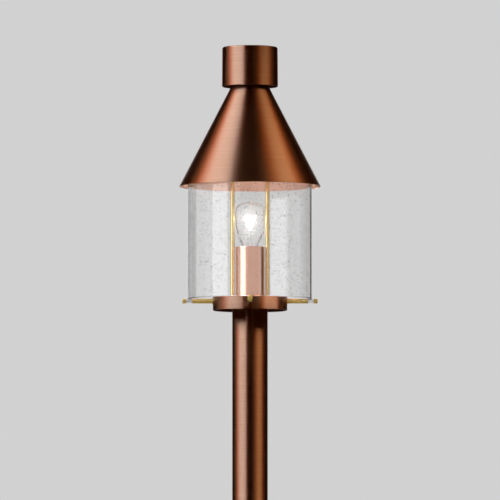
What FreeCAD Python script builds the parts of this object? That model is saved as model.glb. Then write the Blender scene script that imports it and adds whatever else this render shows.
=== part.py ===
import FreeCAD, Part
import math
import os
import re

import Sketcher

# Garden lamp post in copper: a round post on a bolted base plate carries a collar, a seeded glass
# cylinder on four pins, and a conical hood with a screwed cap. Millimetres, +Z up, origin at the centre
# of the base plate's underside. The two hood rods stand along X; the view from the front looks along +Y.
SIZES = {
    # Post and base plate
    "post_diameter": 60,
    "post_wall": 2,
    "post_height": 654,
    "base_diameter": 180,
    "base_thickness": 10,
    "base_chamfer": 2,
    "bolt_hole": 10,
    "bolt_inset": 15,
    "bolt_count": 4,
    "cable_hole": 20,
    "cable_bore": 12,
    "grommet_recess": 1,
    "grommet_flange": 4,
    "grommet_lip": 3,
    "spigot_wall": 4,
    "spigot_length": 45,
    "screw_inset": 22,
    "set_screw": 5,
    "set_screw_setback": 0.4,
    "set_screw_socket": 2.8,
    "socket_depth": 2.5,
    "slip_gap": 0.1,
    "fit_gap": 0.2,
    "running_gap": 0.3,
    # Collar, hub and cover plate
    "collar_diameter": 126,
    "collar_height": 23.3,
    "collar_wall": 2,
    "collar_plate": 2,
    "collar_round": 1.5,
    "cover_thickness": 1.5,
    "cover_recess": 4.5,
    "cover_screw": 4,
    "cover_screw_head": 7,
    "cover_screw_rise": 2.2,
    "cover_screw_grip": 7,
    "cover_screw_inset": 16,
    "cover_screw_count": 3,
    # Pins that carry the glass
    "pin_drop": 7.6,
    "pin_diameter": 8,
    "pin_thread": 6,
    "pin_grip": 10,
    "pin_neck": 4,
    "pin_head": 6.2,
    "pin_round": 1,
    "neck_inner_play": 2.5,
    "neck_outer_play": 3,
    "washer_diameter": 9.2,
    "washer_thickness": 1.6,
    "cushion_wall": 1,
    # Glass cylinder
    "glass_diameter": 210,
    "glass_wall": 5,
    "glass_round": 1.2,
    "glass_head_room": 3.2,
    # Hood, rods and cap
    "lantern_height": 186.2,
    "hood_overhang": 15,
    "hood_height": 169.5,
    "hood_neck": 64,
    "hood_rise": 12,
    "hood_wall": 1.5,
    "top_plate": 2.5,
    "top_plate_lip": 1.5,
    "vent_diameter": 6,
    "vent_count": 6,
    "rod_diameter": 7,
    "rod_thread": 5,
    "rod_grip": 11,
    "rod_gap": 1.25,
    "rod_nut_across": 8,
    "rod_nut_height": 4,
    "rod_tail": 1.5,
    "bridge_width": 14,
    "bridge_thickness": 6,
    "bridge_margin": 8,
    "bridge_round": 5,
    "spacer_length": 55,
    "spacer_wall": 3,
    "stud_diameter": 8,
    "stud_reach": 34,
    "stud_nut_across": 13,
    "stud_nut_height": 6.5,
    "stud_tail": 2,
    "cap_air_gap": 14,
    "cap_height": 67,
    "cap_wall": 1.5,
    "cap_taper": 0.5,
    "cap_round": 3,
    "boss_wall": 3.7,
    "boss_bore_depth": 40,
    # Lampholder and its sleeve
    "lamp_base": 26.2,
    "thread_gap": 0.5,
    "shell_wall": 0.8,
    "shell_setback": 2,
    "holder_wall": 5.4,
    "holder_floor": 8,
    "holder_socket": 34,
    "holder_chamber": 26.7,
    "holder_skirt": 4,
    "foot_thickness": 6,
    "sleeve_gap": 3.75,
    "sleeve_wall": 1,
    "sleeve_reach": 9.5,
    "contact_diameter": 10,
    "contact_plate": 1,
    "contact_stem": 5,
    "terminal_width": 6,
    "terminal_length": 8,
    "terminal_offset": 8,
    "nipple_diameter": 10,
    "nipple_bore": 7,
    "nipple_nut_across": 14,
    "nipple_nut_height": 4,
    "nipple_tail": 2,
    "nipple_head": 5,
    # Terminal block under the hub
    "strap_thickness": 1.5,
    "strap_width": 14,
    "strap_reach": 10,
    "strap_drop": 46,
    "block_width": 18,
    "block_depth": 9,
    "block_height": 20,
    "block_drop": 6,
    "block_screw": 3.4,
    "block_screw_rise": 0.8,
    "block_pitch": 5.6,
    "earth_screw": 4,
    "earth_screw_head": 8,
    "earth_screw_rise": 2.5,
    "earth_screw_inset": 8,
    "lead_diameter": 2.2,
    "lead_offset": 1.8,
    "lead_bend": 2.2,
    "lead_rise": 3,
    # Lamp
    "bulb_diameter": 49.4,
    "bulb_height": 86,
    "bulb_wall": 0.8,
    "bulb_gap": 1.3,
    "bulb_crown_radius": 36,
    "bulb_shoulder_radius": 13,
    "bulb_side_height": 14,
    "bulb_flank_radius": 90,
    "bulb_neck": 26,
    "base_seat_gap": 0.5,
    "base_screw_length": 22,
    "base_thread_pitch": 3.63,
    "base_thread_depth": 0.9,
    "base_shell_wall": 0.5,
    "insulator_height": 5,
    "insulator_tip": 11,
    "tip_height": 2,
    "tip_diameter": 9.6,
    "contact_gap": 0.3,
    "stem_height": 38,
    "stem_diameter": 7,
    "stem_press": 5,
    "stem_flare": 24,
    "stem_flare_height": 1.2,
    "stem_cone_height": 9,
    "filament_rise": 22,
    "filament_span": 18,
    "filament_arch": 3,
    "filament_wire": 0.9,
    "support_wire": 0.8,
    "support_root": 1.4,
    "support_gap": 0.3,
}

# Places and radii worked out from the sizes
DERIVED = {
    "post_radius": "post_diameter / 2",
    "spigot_radius": "post_radius - post_wall - slip_gap",
    "spigot_inside": "spigot_radius - spigot_wall",
    "base_screw_level": "base_thickness + screw_inset",
    "bolt_radius": "base_diameter / 2 - bolt_inset",
    "collar_radius": "collar_diameter / 2",
    "collar_top": "post_height + collar_height",
    "hub_top": "collar_top - collar_plate",
    "hub_bottom": "post_height + cover_recess + cover_thickness",
    "hub_radius": "collar_radius - collar_wall - fit_gap",
    "hub_screw_level": "hub_bottom - screw_inset",
    "cover_screw_radius": "hub_radius - cover_screw_inset",
    "pin_level": "collar_top - pin_drop",
    "pin_root": "collar_radius + washer_thickness",
    "glass_radius": "glass_diameter / 2",
    "neck_start": "glass_radius - glass_wall - neck_inner_play",
    "neck_end": "glass_radius + neck_outer_play",
    "cushion_inside": "pin_neck / 2 + slip_gap",
    "cushion_outside": "cushion_inside + cushion_wall",
    "glass_bottom": "pin_level + cushion_outside + running_gap",
    "rim_level": "collar_top + lantern_height",
    "rim_radius": "glass_radius + hood_overhang",
    "hood_slope": "(rim_radius - hood_neck / 2) / hood_height",
    "hood_skin": "hood_wall * sqrt(1 + hood_slope ^ 2)",
    "glass_top": "rim_level + (hood_overhang - hood_skin - glass_head_room) / hood_slope",
    "cap_bottom": "rim_level + hood_height",
    "hood_top": "cap_bottom + hood_rise",
    "hood_top_radius": "hood_neck / 2 - hood_slope * hood_rise",
    "hood_top_inside": "hood_top_radius - hood_skin",
    "plate_top": "hood_top + top_plate",
    "stud_radius": "stud_diameter / 2",
    "boss_radius": "stud_radius + running_gap + boss_wall",
    "vent_radius": "(boss_radius + hood_top_inside) / 2",
    "bridge_top": "hood_top - spacer_length",
    "bridge_bottom": "bridge_top - bridge_thickness",
    "cap_radius": "hood_neck / 2 + cap_air_gap + cap_wall",
    "cap_top_radius": "cap_radius - cap_taper",
    "cap_top": "cap_bottom + cap_height",
    "cap_ceiling": "cap_top - cap_wall",
    "base_radius": "lamp_base / 2",
    "shell_inside": "base_radius + thread_gap",
    "shell_outside": "shell_inside + shell_wall",
    "holder_inside": "shell_outside + slip_gap",
    "holder_radius": "holder_inside + holder_wall",
    "sleeve_inside": "holder_radius + sleeve_gap",
    "sleeve_radius": "sleeve_inside + sleeve_wall",
    "foot_top": "collar_top + foot_thickness",
    "chamber_top": "foot_top + holder_chamber",
    "socket_floor": "chamber_top + holder_floor",
    "holder_top": "socket_floor + holder_socket",
    "sleeve_top": "holder_top + sleeve_reach",
    "chamber_radius": "holder_radius - holder_skirt",
    "nipple_radius": "nipple_diameter / 2",
    "nipple_top": "foot_top + nipple_head",
    "strap_under": "hub_bottom - strap_thickness",
    "nipple_nut_under": "strap_under - nipple_nut_height",
    "nipple_bottom": "nipple_nut_under - nipple_tail",
    "block_top": "nipple_bottom - block_drop",
    "block_bottom": "block_top - block_height",
    "strap_bottom": "hub_bottom - strap_drop",
    "earth_level": "strap_bottom + earth_screw_inset",
    "block_back": "strap_reach - strap_thickness",
    "terminal_under": "chamber_top - terminal_length",
    "bulb_seat": "holder_top + base_seat_gap",
    "bulb_radius": "bulb_diameter / 2",
    "bulb_top": "bulb_seat + bulb_height",
    "base_under": "bulb_seat - base_screw_length",
    "insulator_under": "base_under - insulator_height",
    "tip_under": "insulator_under - tip_height",
    "contact_top": "tip_under - contact_gap",
    "stem_top": "bulb_seat + stem_height",
    "filament_level": "stem_top + filament_rise",
    "rod_offset": "max(sleeve_radius + rod_gap; bulb_radius + bulb_gap) + rod_diameter / 2",
    "rod_top": "bridge_top + rod_nut_height + rod_tail",
}

# Angles about Z in degrees from +X
SET_SCREW_ANGLES = (55, 125)
PIN_SIDES = {"right": 0, "rear": 90, "left": 180, "front": 270}

# A cut that takes less than this off a piece, in cubic millimetres, has missed it
LEAST_CUT = 0.001
# Two places closer than this, in millimetres, are the same place
SAME_PLACE = 0.0001
# How far a swept wire's volume may lie from its section times its length, as a share
SWEEP_TOLERANCE = 0.01

doc = FreeCAD.newDocument("garden_lamp_post")
sheet = doc.addObject("Spreadsheet::Sheet", "Sizes")
for row, (alias, value) in enumerate(SIZES.items(), start=1):
    sheet.set(f"A{row}", alias)
    sheet.set(f"B{row}", str(value))
    sheet.setAlias(f"B{row}", alias)
doc.recompute()

sub_parts = []


def bound(text):
    """Write a size expression out as references to the sheet."""

    def written(match):
        word = match.group(0)
        if word in DERIVED:
            return f"({bound(DERIVED[word])})"
        return f"Sizes.{word}" if word in SIZES else word

    return re.sub(r"[a-z_]+", written, text)


def number(text):
    """Give a size expression's present value."""
    return float(sheet.evalExpression(bound(text)))


def keep(item):
    """List an object as a sub-part of the lamp."""
    sub_parts.append(item)
    return item


def plane_of(body, role):
    """Find one of a body's own origin planes or axes."""
    return next(item for item in body.Origin.OriginFeatures if item.Role == role)


def pin_point(sketch, geometry, place, point):
    """Hold one point of a sketch at a pair of size expressions from the origin."""
    for kind, axis, value in (("DistanceX", -2, point[0]), ("DistanceY", -1, point[1])):
        if value == "0":
            sketch.addConstraint(Sketcher.Constraint("PointOnObject", geometry, place, axis))
            continue
        index = sketch.addConstraint(Sketcher.Constraint(kind, -1, 1, geometry, place, number(value)))
        sketch.setExpression(f"Constraints[{index}]", bound(value))


def new_sketch(body, name, role):
    """Add an empty sketch on one of a body's own planes."""
    sketch = body.newObject("Sketcher::SketchObject", name)
    sketch.AttachmentSupport = [(plane_of(body, role), "")]
    sketch.MapMode = "FlatFace"
    return sketch


def outline(body, name, role, points):
    """Draw a closed outline of straight lines through points given as size expressions."""
    sketch = new_sketch(body, name, role)
    corners = [FreeCAD.Vector(number(across), number(along), 0) for across, along in points]
    count = len(corners)
    for index, corner in enumerate(corners):
        sketch.addGeometry(Part.LineSegment(corner, corners[(index + 1) % count]), False)
    for index in range(count):
        sketch.addConstraint(Sketcher.Constraint("Coincident", index, 2, (index + 1) % count, 1))
    for index, point in enumerate(points):
        pin_point(sketch, index, 1, point)
    return sketch


def circles(body, name, role, places, radius, start=None):
    """Draw equal circles at places given as size expressions, on a plane or at a start distance from it."""
    sketch = new_sketch(body, name, role)
    if start:
        sketch.setExpression("AttachmentOffset.Base.z", bound(start))
    for index, (across, along) in enumerate(places):
        middle = FreeCAD.Vector(number(across), number(along), 0)
        sketch.addGeometry(Part.Circle(middle, FreeCAD.Vector(0, 0, 1), number(radius)), False)
        pin_point(sketch, index, 3, (across, along))
        held = sketch.addConstraint(Sketcher.Constraint("Radius", index, number(radius)))
        sketch.setExpression(f"Constraints[{held}]", bound(radius))
    return sketch


def turned(label, points, axis="V_Axis"):
    """Turn a closed outline of (radius, level) points about Z, or of (reach, radius) points about X."""
    body = doc.addObject("PartDesign::Body", label)
    sketch = outline(body, f"{label}_outline", "XZ_Plane", points)
    turn = body.newObject("PartDesign::Revolution", f"{label}_turn")
    turn.Profile = sketch
    turn.ReferenceAxis = (sketch, [axis])
    turn.Angle = 360
    doc.recompute()
    return body


def radial(label, points, level, angle):
    """Turn an outline of (reach, radius) points about X, then stand it at a level and an angle."""
    body = turned(label, points, axis="H_Axis")
    body.Placement = FreeCAD.Placement(FreeCAD.Vector(), FreeCAD.Rotation(FreeCAD.Vector(0, 0, 1), angle))
    body.setExpression("Placement.Base.z", bound(level))
    return body


def cut(body, sketch, depth=None, ahead=True, both_ways=False, copies=None):
    """Cut a sketch into a body along its normal, through or to a depth, and repeat it around Z for copies."""
    before = body.Shape.Volume
    pocket = body.newObject("PartDesign::Pocket", f"{sketch.Name}_cut")
    pocket.Profile = sketch
    pocket.Type = "Length" if depth else "ThroughAll"
    pocket.SideType = "Symmetric" if both_ways else "One side"
    pocket.Reversed = ahead
    if depth:
        pocket.setExpression("Length", bound(depth))
    doc.recompute()
    if copies:
        pattern = body.newObject("PartDesign::PolarPattern", f"{sketch.Name}_ring")
        pattern.Originals = [pocket]
        pattern.Axis = (plane_of(body, "Z_Axis"), [""])
        pattern.Angle = 360
        pattern.setExpression("Occurrences", bound(copies))
        body.Tip = pattern
        doc.recompute()
    if body.Shape.Volume > before - LEAST_CUT:
        raise RuntimeError(f"{sketch.Name} cut nothing from {body.Label}")


def radial_holes(body, name, level, radius, angle=0, start=None, copies=None):
    """Drill outwards from the axis, or from a start radius, at one angle or evenly around Z."""
    sketch = circles(body, name, "YZ_Plane", [("0", level)], radius, start)
    sketch.AttachmentOffset.Rotation = FreeCAD.Rotation(FreeCAD.Vector(0, 1, 0), angle)
    doc.recompute()
    cut(body, sketch, copies=copies)


def rounded(body, radius, rings):
    """Round the circular edges of a turned body that lie at (radius, level) pairs."""
    base = body.Tip
    wanted = [(number(across), number(level)) for across, level in rings]
    names = []
    for index, edge in enumerate(base.Shape.Edges, start=1):
        if not isinstance(edge.Curve, Part.Circle):
            continue
        found = (edge.Curve.Radius, edge.Curve.Center.z)
        if any(math.dist(found, pair) < SAME_PLACE for pair in wanted):
            names.append(f"Edge{index}")
    fillet = body.newObject("PartDesign::Fillet", f"{body.Name}_round")
    fillet.Base = (base, names)
    fillet.setExpression("Radius", bound(radius))
    doc.recompute()


def padded(label, role, points, length, start):
    """Pad a straight-sided outline along the normal of its plane from a start distance."""
    body = doc.addObject("PartDesign::Body", label)
    sketch = outline(body, f"{label}_outline", role, points)
    sketch.setExpression("AttachmentOffset.Base.z", bound(start))
    pad = body.newObject("PartDesign::Pad", f"{label}_pad")
    pad.Profile = sketch
    pad.setExpression("Length", bound(length))
    doc.recompute()
    return body


def hex_nut(name, across, height, bore, place):
    """Make a hexagonal nut standing on a place given as size expressions."""
    prism = doc.addObject("Part::Prism", f"{name}_blank")
    prism.Polygon = 6
    prism.setExpression("Circumradius", bound(f"{across} / sqrt(3)"))
    prism.setExpression("Height", bound(height))
    hole = doc.addObject("Part::Cylinder", f"{name}_bore")
    hole.setExpression("Radius", bound(bore))
    hole.setExpression("Height", bound(height))
    nut = doc.addObject("Part::Cut", name)
    nut.Base = prism
    nut.Tool = hole
    for axis, value in zip("xyz", place):
        nut.setExpression(f"Placement.Base.{axis}", bound(value))
    return nut


def group(label, members):
    """Gather equal separate solids in one sub-part."""
    gathered = doc.addObject("Part::Compound", label)
    gathered.Links = members
    return keep(gathered)


def swept(label, runs, radius):
    """Sweep a round wire along paths of straight runs joined by tangent arcs, one solid for each path."""
    solids = []
    for points, bend in runs:
        edges = []
        start = points[0]
        for before, corner, after in zip(points, points[1:], points[2:]):
            back = (before - corner).normalize()
            ahead = (after - corner).normalize()
            half = back.getAngle(ahead) / 2
            reach = bend / math.tan(half)
            middle = corner + (back + ahead).normalize() * (bend / math.sin(half) - bend)
            enter = corner + back * reach
            leave = corner + ahead * reach
            edges.append(Part.LineSegment(start, enter).toShape())
            edges.append(Part.Arc(enter, middle, leave).toShape())
            start = leave
        edges.append(Part.LineSegment(start, points[-1]).toShape())
        path = Part.Wire(edges)
        section = Part.Wire([Part.Circle(points[0], points[1] - points[0], radius).toShape()])
        solid = path.makePipeShell([section], True, False)
        if abs(solid.Volume / (math.pi * radius**2 * path.Length) - 1) > SWEEP_TOLERANCE:
            raise RuntimeError(f"{label} has the wrong volume along its path")
        solids.append(solid)
    item = doc.addObject("Part::Feature", label)
    item.Shape = solids[0] if len(solids) == 1 else Part.makeCompound(solids)
    return keep(item)


def vector(across, depth, level):
    """Give the point at three size expressions."""
    return FreeCAD.Vector(number(across), number(depth), number(level))


def base_and_post():
    """Base plate with its spigot, cable grommet, post tube and the set screws at the foot."""
    plate = turned(
        "base_plate",
        [
            ("cable_hole / 2", "0"),
            ("base_diameter / 2", "0"),
            ("base_diameter / 2", "base_thickness - base_chamfer"),
            ("base_diameter / 2 - base_chamfer", "base_thickness"),
            ("spigot_radius", "base_thickness"),
            ("spigot_radius", "base_thickness + spigot_length"),
            ("spigot_inside", "base_thickness + spigot_length"),
            ("spigot_inside", "base_thickness"),
            ("cable_hole / 2", "base_thickness"),
        ],
    )
    holes = circles(plate, "bolt_holes", "XY_Plane", [("bolt_radius", "0")], "bolt_hole / 2")
    cut(plate, holes, copies="bolt_count")
    tube = turned(
        "post_tube",
        [
            ("post_radius - post_wall", "base_thickness"),
            ("post_radius", "base_thickness"),
            ("post_radius", "hub_bottom"),
            ("post_radius - post_wall", "hub_bottom"),
        ],
    )
    hole_radius = "set_screw / 2 + slip_gap"
    for angle in SET_SCREW_ANGLES:
        radial_holes(plate, f"foot_tapping_{angle}", "base_screw_level", hole_radius, angle)
        radial_holes(tube, f"foot_hole_{angle}", "base_screw_level", hole_radius, angle)
        radial_holes(tube, f"head_hole_{angle}", "hub_screw_level", hole_radius, angle)
    keep(plate)
    keep(tube)
    keep(
        turned(
            "cable_grommet",
            [
                ("cable_bore / 2", "grommet_recess"),
                ("cable_hole / 2 - slip_gap", "grommet_recess"),
                ("cable_hole / 2 - slip_gap", "base_thickness"),
                ("cable_hole / 2 + grommet_flange", "base_thickness"),
                ("cable_hole / 2 + grommet_flange", "base_thickness + grommet_lip"),
                ("cable_bore / 2", "base_thickness + grommet_lip"),
            ],
        )
    )
    set_screws("base_set_screws", "base_screw_level")


def set_screws(label, level):
    """Socket set screws through the post's wall into a spigot."""
    outer = "post_radius - set_screw_setback"
    points = [
        ("spigot_inside", "0"),
        ("spigot_inside", "set_screw / 2"),
        (outer, "set_screw / 2"),
        (outer, "set_screw_socket / 2"),
        (f"{outer} - socket_depth", "set_screw_socket / 2"),
        (f"{outer} - socket_depth", "0"),
    ]
    group(label, [radial(f"{label}_{angle}", points, level, angle) for angle in SET_SCREW_ANGLES])


def collar_and_hub():
    """Hub on top of the post, the drum that covers it, its cover plate and their screws."""
    hub = turned(
        "head_hub",
        [
            ("nipple_radius + slip_gap", "hub_bottom"),
            ("spigot_inside", "hub_bottom"),
            ("spigot_inside", "hub_bottom - spigot_length"),
            ("spigot_radius", "hub_bottom - spigot_length"),
            ("spigot_radius", "hub_bottom"),
            ("hub_radius", "hub_bottom"),
            ("hub_radius", "hub_top"),
            ("nipple_radius + slip_gap", "hub_top"),
        ],
    )
    rod_places = [("rod_offset", "0"), ("-rod_offset", "0")]
    rod_hole = "rod_thread / 2 + slip_gap"
    rod_tappings = circles(hub, "rod_tappings", "XY_Plane", rod_places, rod_hole, "hub_top")
    cut(hub, rod_tappings, "rod_grip", ahead=False)
    pin_hole = "pin_thread / 2 + slip_gap"
    pin_copies = str(len(PIN_SIDES))
    pin_end = "collar_radius - pin_grip"
    radial_holes(hub, "pin_tappings", "pin_level", pin_hole, start=pin_end, copies=pin_copies)
    for angle in SET_SCREW_ANGLES:
        radial_holes(hub, f"head_tapping_{angle}", "hub_screw_level", "set_screw / 2 + slip_gap", angle)
    screw_places = [("0", "cover_screw_radius")]
    screw_hole = "cover_screw / 2 + slip_gap"
    tappings = circles(hub, "cover_tappings", "XY_Plane", screw_places, screw_hole, "hub_bottom")
    cut(hub, tappings, "cover_screw_grip", copies="cover_screw_count")
    keep(hub)
    set_screws("hub_set_screws", "hub_screw_level")

    collar = turned(
        "collar",
        [
            ("nipple_radius + slip_gap", "hub_top"),
            ("collar_radius - collar_wall", "hub_top"),
            ("collar_radius - collar_wall", "post_height"),
            ("collar_radius", "post_height"),
            ("collar_radius", "collar_top"),
            ("nipple_radius + slip_gap", "collar_top"),
        ],
    )
    cut(collar, circles(collar, "rod_holes", "XY_Plane", rod_places, rod_hole))
    radial_holes(collar, "pin_holes", "pin_level", pin_hole, start="sleeve_radius", copies=pin_copies)
    rounded(collar, "collar_round", [("collar_radius", "collar_top")])
    keep(collar)

    cover = turned(
        "collar_cover_plate",
        [
            ("post_radius + running_gap", "hub_bottom - cover_thickness"),
            ("hub_radius", "hub_bottom - cover_thickness"),
            ("hub_radius", "hub_bottom"),
            ("post_radius + running_gap", "hub_bottom"),
        ],
    )
    cover_holes = circles(cover, "cover_holes", "XY_Plane", screw_places, screw_hole)
    cut(cover, cover_holes, copies="cover_screw_count")
    keep(cover)
    cover_screws()


def cover_screws():
    """Pan-head screws that hold the cover plate up against the hub."""
    under = "hub_bottom - cover_thickness"
    count = round(number("cover_screw_count"))
    screws = []
    for index in range(count):
        screw = turned(
            f"cover_screw_{index + 1}",
            [
                ("0", f"{under} - cover_screw_rise"),
                ("cover_screw_head / 2", f"{under} - cover_screw_rise"),
                ("cover_screw_head / 2", under),
                ("cover_screw / 2", under),
                ("cover_screw / 2", f"{under} + cover_screw_grip"),
                ("0", f"{under} + cover_screw_grip"),
            ],
        )
        angle = math.radians(90 + 360 * index / count)
        screw.setExpression("Placement.Base.x", bound(f"cover_screw_radius * {math.cos(angle):.9f}"))
        screw.setExpression("Placement.Base.y", bound(f"cover_screw_radius * {math.sin(angle):.9f}"))
        screws.append(screw)
    group("cover_plate_screws", screws)


def glass_and_pins():
    """Four pins with soft cushions in their necks, their washers, and the glass that stands on them."""
    washers = []
    for side, angle in PIN_SIDES.items():
        keep(
            radial(
                f"support_pin_{side}",
                [
                    ("collar_radius - pin_grip", "0"),
                    ("collar_radius - pin_grip", "pin_thread / 2"),
                    ("pin_root", "pin_thread / 2"),
                    ("pin_root", "pin_diameter / 2"),
                    ("neck_start", "pin_diameter / 2"),
                    ("neck_start", "pin_neck / 2"),
                    ("neck_end", "pin_neck / 2"),
                    ("neck_end", "pin_diameter / 2"),
                    ("neck_end + pin_head - pin_round", "pin_diameter / 2"),
                    ("neck_end + pin_head", "pin_diameter / 2 - pin_round"),
                    ("neck_end + pin_head", "0"),
                ],
                "pin_level",
                angle,
            )
        )
        keep(
            radial(
                f"glass_cushion_{side}",
                [
                    ("neck_start + slip_gap", "cushion_inside"),
                    ("neck_end - slip_gap", "cushion_inside"),
                    ("neck_end - slip_gap", "cushion_outside"),
                    ("neck_start + slip_gap", "cushion_outside"),
                ],
                "pin_level",
                angle,
            )
        )
        washers.append(
            radial(
                f"pin_washer_{side}",
                [
                    ("collar_radius + slip_gap", "pin_thread / 2 + slip_gap"),
                    ("pin_root", "pin_thread / 2 + slip_gap"),
                    ("pin_root", "washer_diameter / 2"),
                    ("collar_radius + slip_gap", "washer_diameter / 2"),
                ],
                "pin_level",
                angle,
            )
        )
    group("pin_washers", washers)
    glass = turned(
        "glass_cylinder",
        [
            ("glass_radius - glass_wall", "glass_bottom"),
            ("glass_radius", "glass_bottom"),
            ("glass_radius", "glass_top"),
            ("glass_radius - glass_wall", "glass_top"),
        ],
    )
    edges = [
        (radius, level)
        for radius in ("glass_radius", "glass_radius - glass_wall")
        for level in ("glass_bottom", "glass_top")
    ]
    rounded(glass, "glass_round", edges)
    keep(glass)


def hood_and_cap():
    """Conical hood with its vented top plate, and the cap with its threaded boss."""
    keep(
        turned(
            "hood_cone",
            [
                ("rim_radius - hood_skin", "rim_level"),
                ("rim_radius", "rim_level"),
                ("hood_top_radius", "hood_top"),
                ("hood_top_inside", "hood_top"),
            ],
        )
    )
    plate = turned(
        "hood_top_plate",
        [
            ("stud_radius + running_gap", "hood_top"),
            ("hood_top_radius + top_plate_lip", "hood_top"),
            ("hood_top_radius + top_plate_lip", "plate_top"),
            ("stud_radius + running_gap", "plate_top"),
        ],
    )
    vents = circles(plate, "vent_holes", "XY_Plane", [("vent_radius", "0")], "vent_diameter / 2")
    cut(plate, vents, copies="vent_count")
    keep(plate)
    cap = turned(
        "cap",
        [
            ("0", "cap_ceiling"),
            ("cap_top_radius - cap_wall", "cap_ceiling"),
            ("cap_radius - cap_wall", "cap_bottom"),
            ("cap_radius", "cap_bottom"),
            ("cap_top_radius", "cap_top"),
            ("0", "cap_top"),
        ],
    )
    rounded(cap, "cap_round", [("cap_top_radius", "cap_top")])
    keep(cap)
    keep(
        turned(
            "cap_boss",
            [
                ("stud_radius + running_gap", "plate_top"),
                ("boss_radius", "plate_top"),
                ("boss_radius", "cap_ceiling"),
                ("0", "cap_ceiling"),
                ("0", "plate_top + boss_bore_depth"),
                ("stud_radius + running_gap", "plate_top + boss_bore_depth"),
            ],
        )
    )


def rods_and_stud():
    """Two rods beside the lamp, the bridge across them, and the stud and spacer that carry the hood."""
    nuts = []
    for side, sign in (("left", "-"), ("right", "")):
        rod = turned(
            f"hood_rod_{side}",
            [
                ("0", "hub_top - rod_grip"),
                ("rod_thread / 2", "hub_top - rod_grip"),
                ("rod_thread / 2", "collar_top"),
                ("rod_diameter / 2", "collar_top"),
                ("rod_diameter / 2", "bridge_bottom"),
                ("rod_thread / 2", "bridge_bottom"),
                ("rod_thread / 2", "rod_top"),
                ("0", "rod_top"),
            ],
        )
        rod.setExpression("Placement.Base.x", bound(f"{sign}rod_offset"))
        keep(rod)
        bore = "rod_thread / 2 + slip_gap"
        place = (f"{sign}rod_offset", "0", "bridge_top")
        nuts.append(hex_nut(f"rod_nut_{side}", "rod_nut_across", "rod_nut_height", bore, place))
    group("rod_nuts", nuts)

    half = "(rod_offset + bridge_margin)"
    corners = [
        (f"-{half}", "-bridge_width / 2"),
        (half, "-bridge_width / 2"),
        (half, "bridge_width / 2"),
        (f"-{half}", "bridge_width / 2"),
    ]
    bridge = padded("rod_bridge", "XY_Plane", corners, "bridge_thickness", "bridge_bottom")
    pad = bridge.Tip
    upright = [
        f"Edge{index}"
        for index, edge in enumerate(pad.Shape.Edges, start=1)
        if abs(edge.tangentAt(edge.FirstParameter).z) > 0.9
    ]
    ends = bridge.newObject("PartDesign::Fillet", "bridge_ends")
    ends.Base = (pad, upright)
    ends.setExpression("Radius", bound("bridge_round"))
    doc.recompute()
    rod_places = [("rod_offset", "0"), ("-rod_offset", "0")]
    cut(bridge, circles(bridge, "bridge_rod_holes", "XY_Plane", rod_places, "rod_thread / 2 + slip_gap"))
    cut(bridge, circles(bridge, "bridge_stud_hole", "XY_Plane", [("0", "0")], "stud_radius + slip_gap"))
    keep(bridge)

    stud_foot = "bridge_bottom - stud_nut_height - stud_tail"
    keep(
        turned(
            "hood_stud",
            [
                ("0", stud_foot),
                ("stud_radius", stud_foot),
                ("stud_radius", "plate_top + stud_reach"),
                ("0", "plate_top + stud_reach"),
            ],
        )
    )
    place = ("0", "0", "bridge_bottom - stud_nut_height")
    keep(hex_nut("stud_nut", "stud_nut_across", "stud_nut_height", "stud_radius + slip_gap", place))
    keep(
        turned(
            "hood_spacer",
            [
                ("stud_radius + fit_gap", "bridge_top"),
                ("stud_radius + fit_gap + spacer_wall", "bridge_top"),
                ("stud_radius + fit_gap + spacer_wall", "hood_top"),
                ("stud_radius + fit_gap", "hood_top"),
            ],
        )
    )


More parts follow.
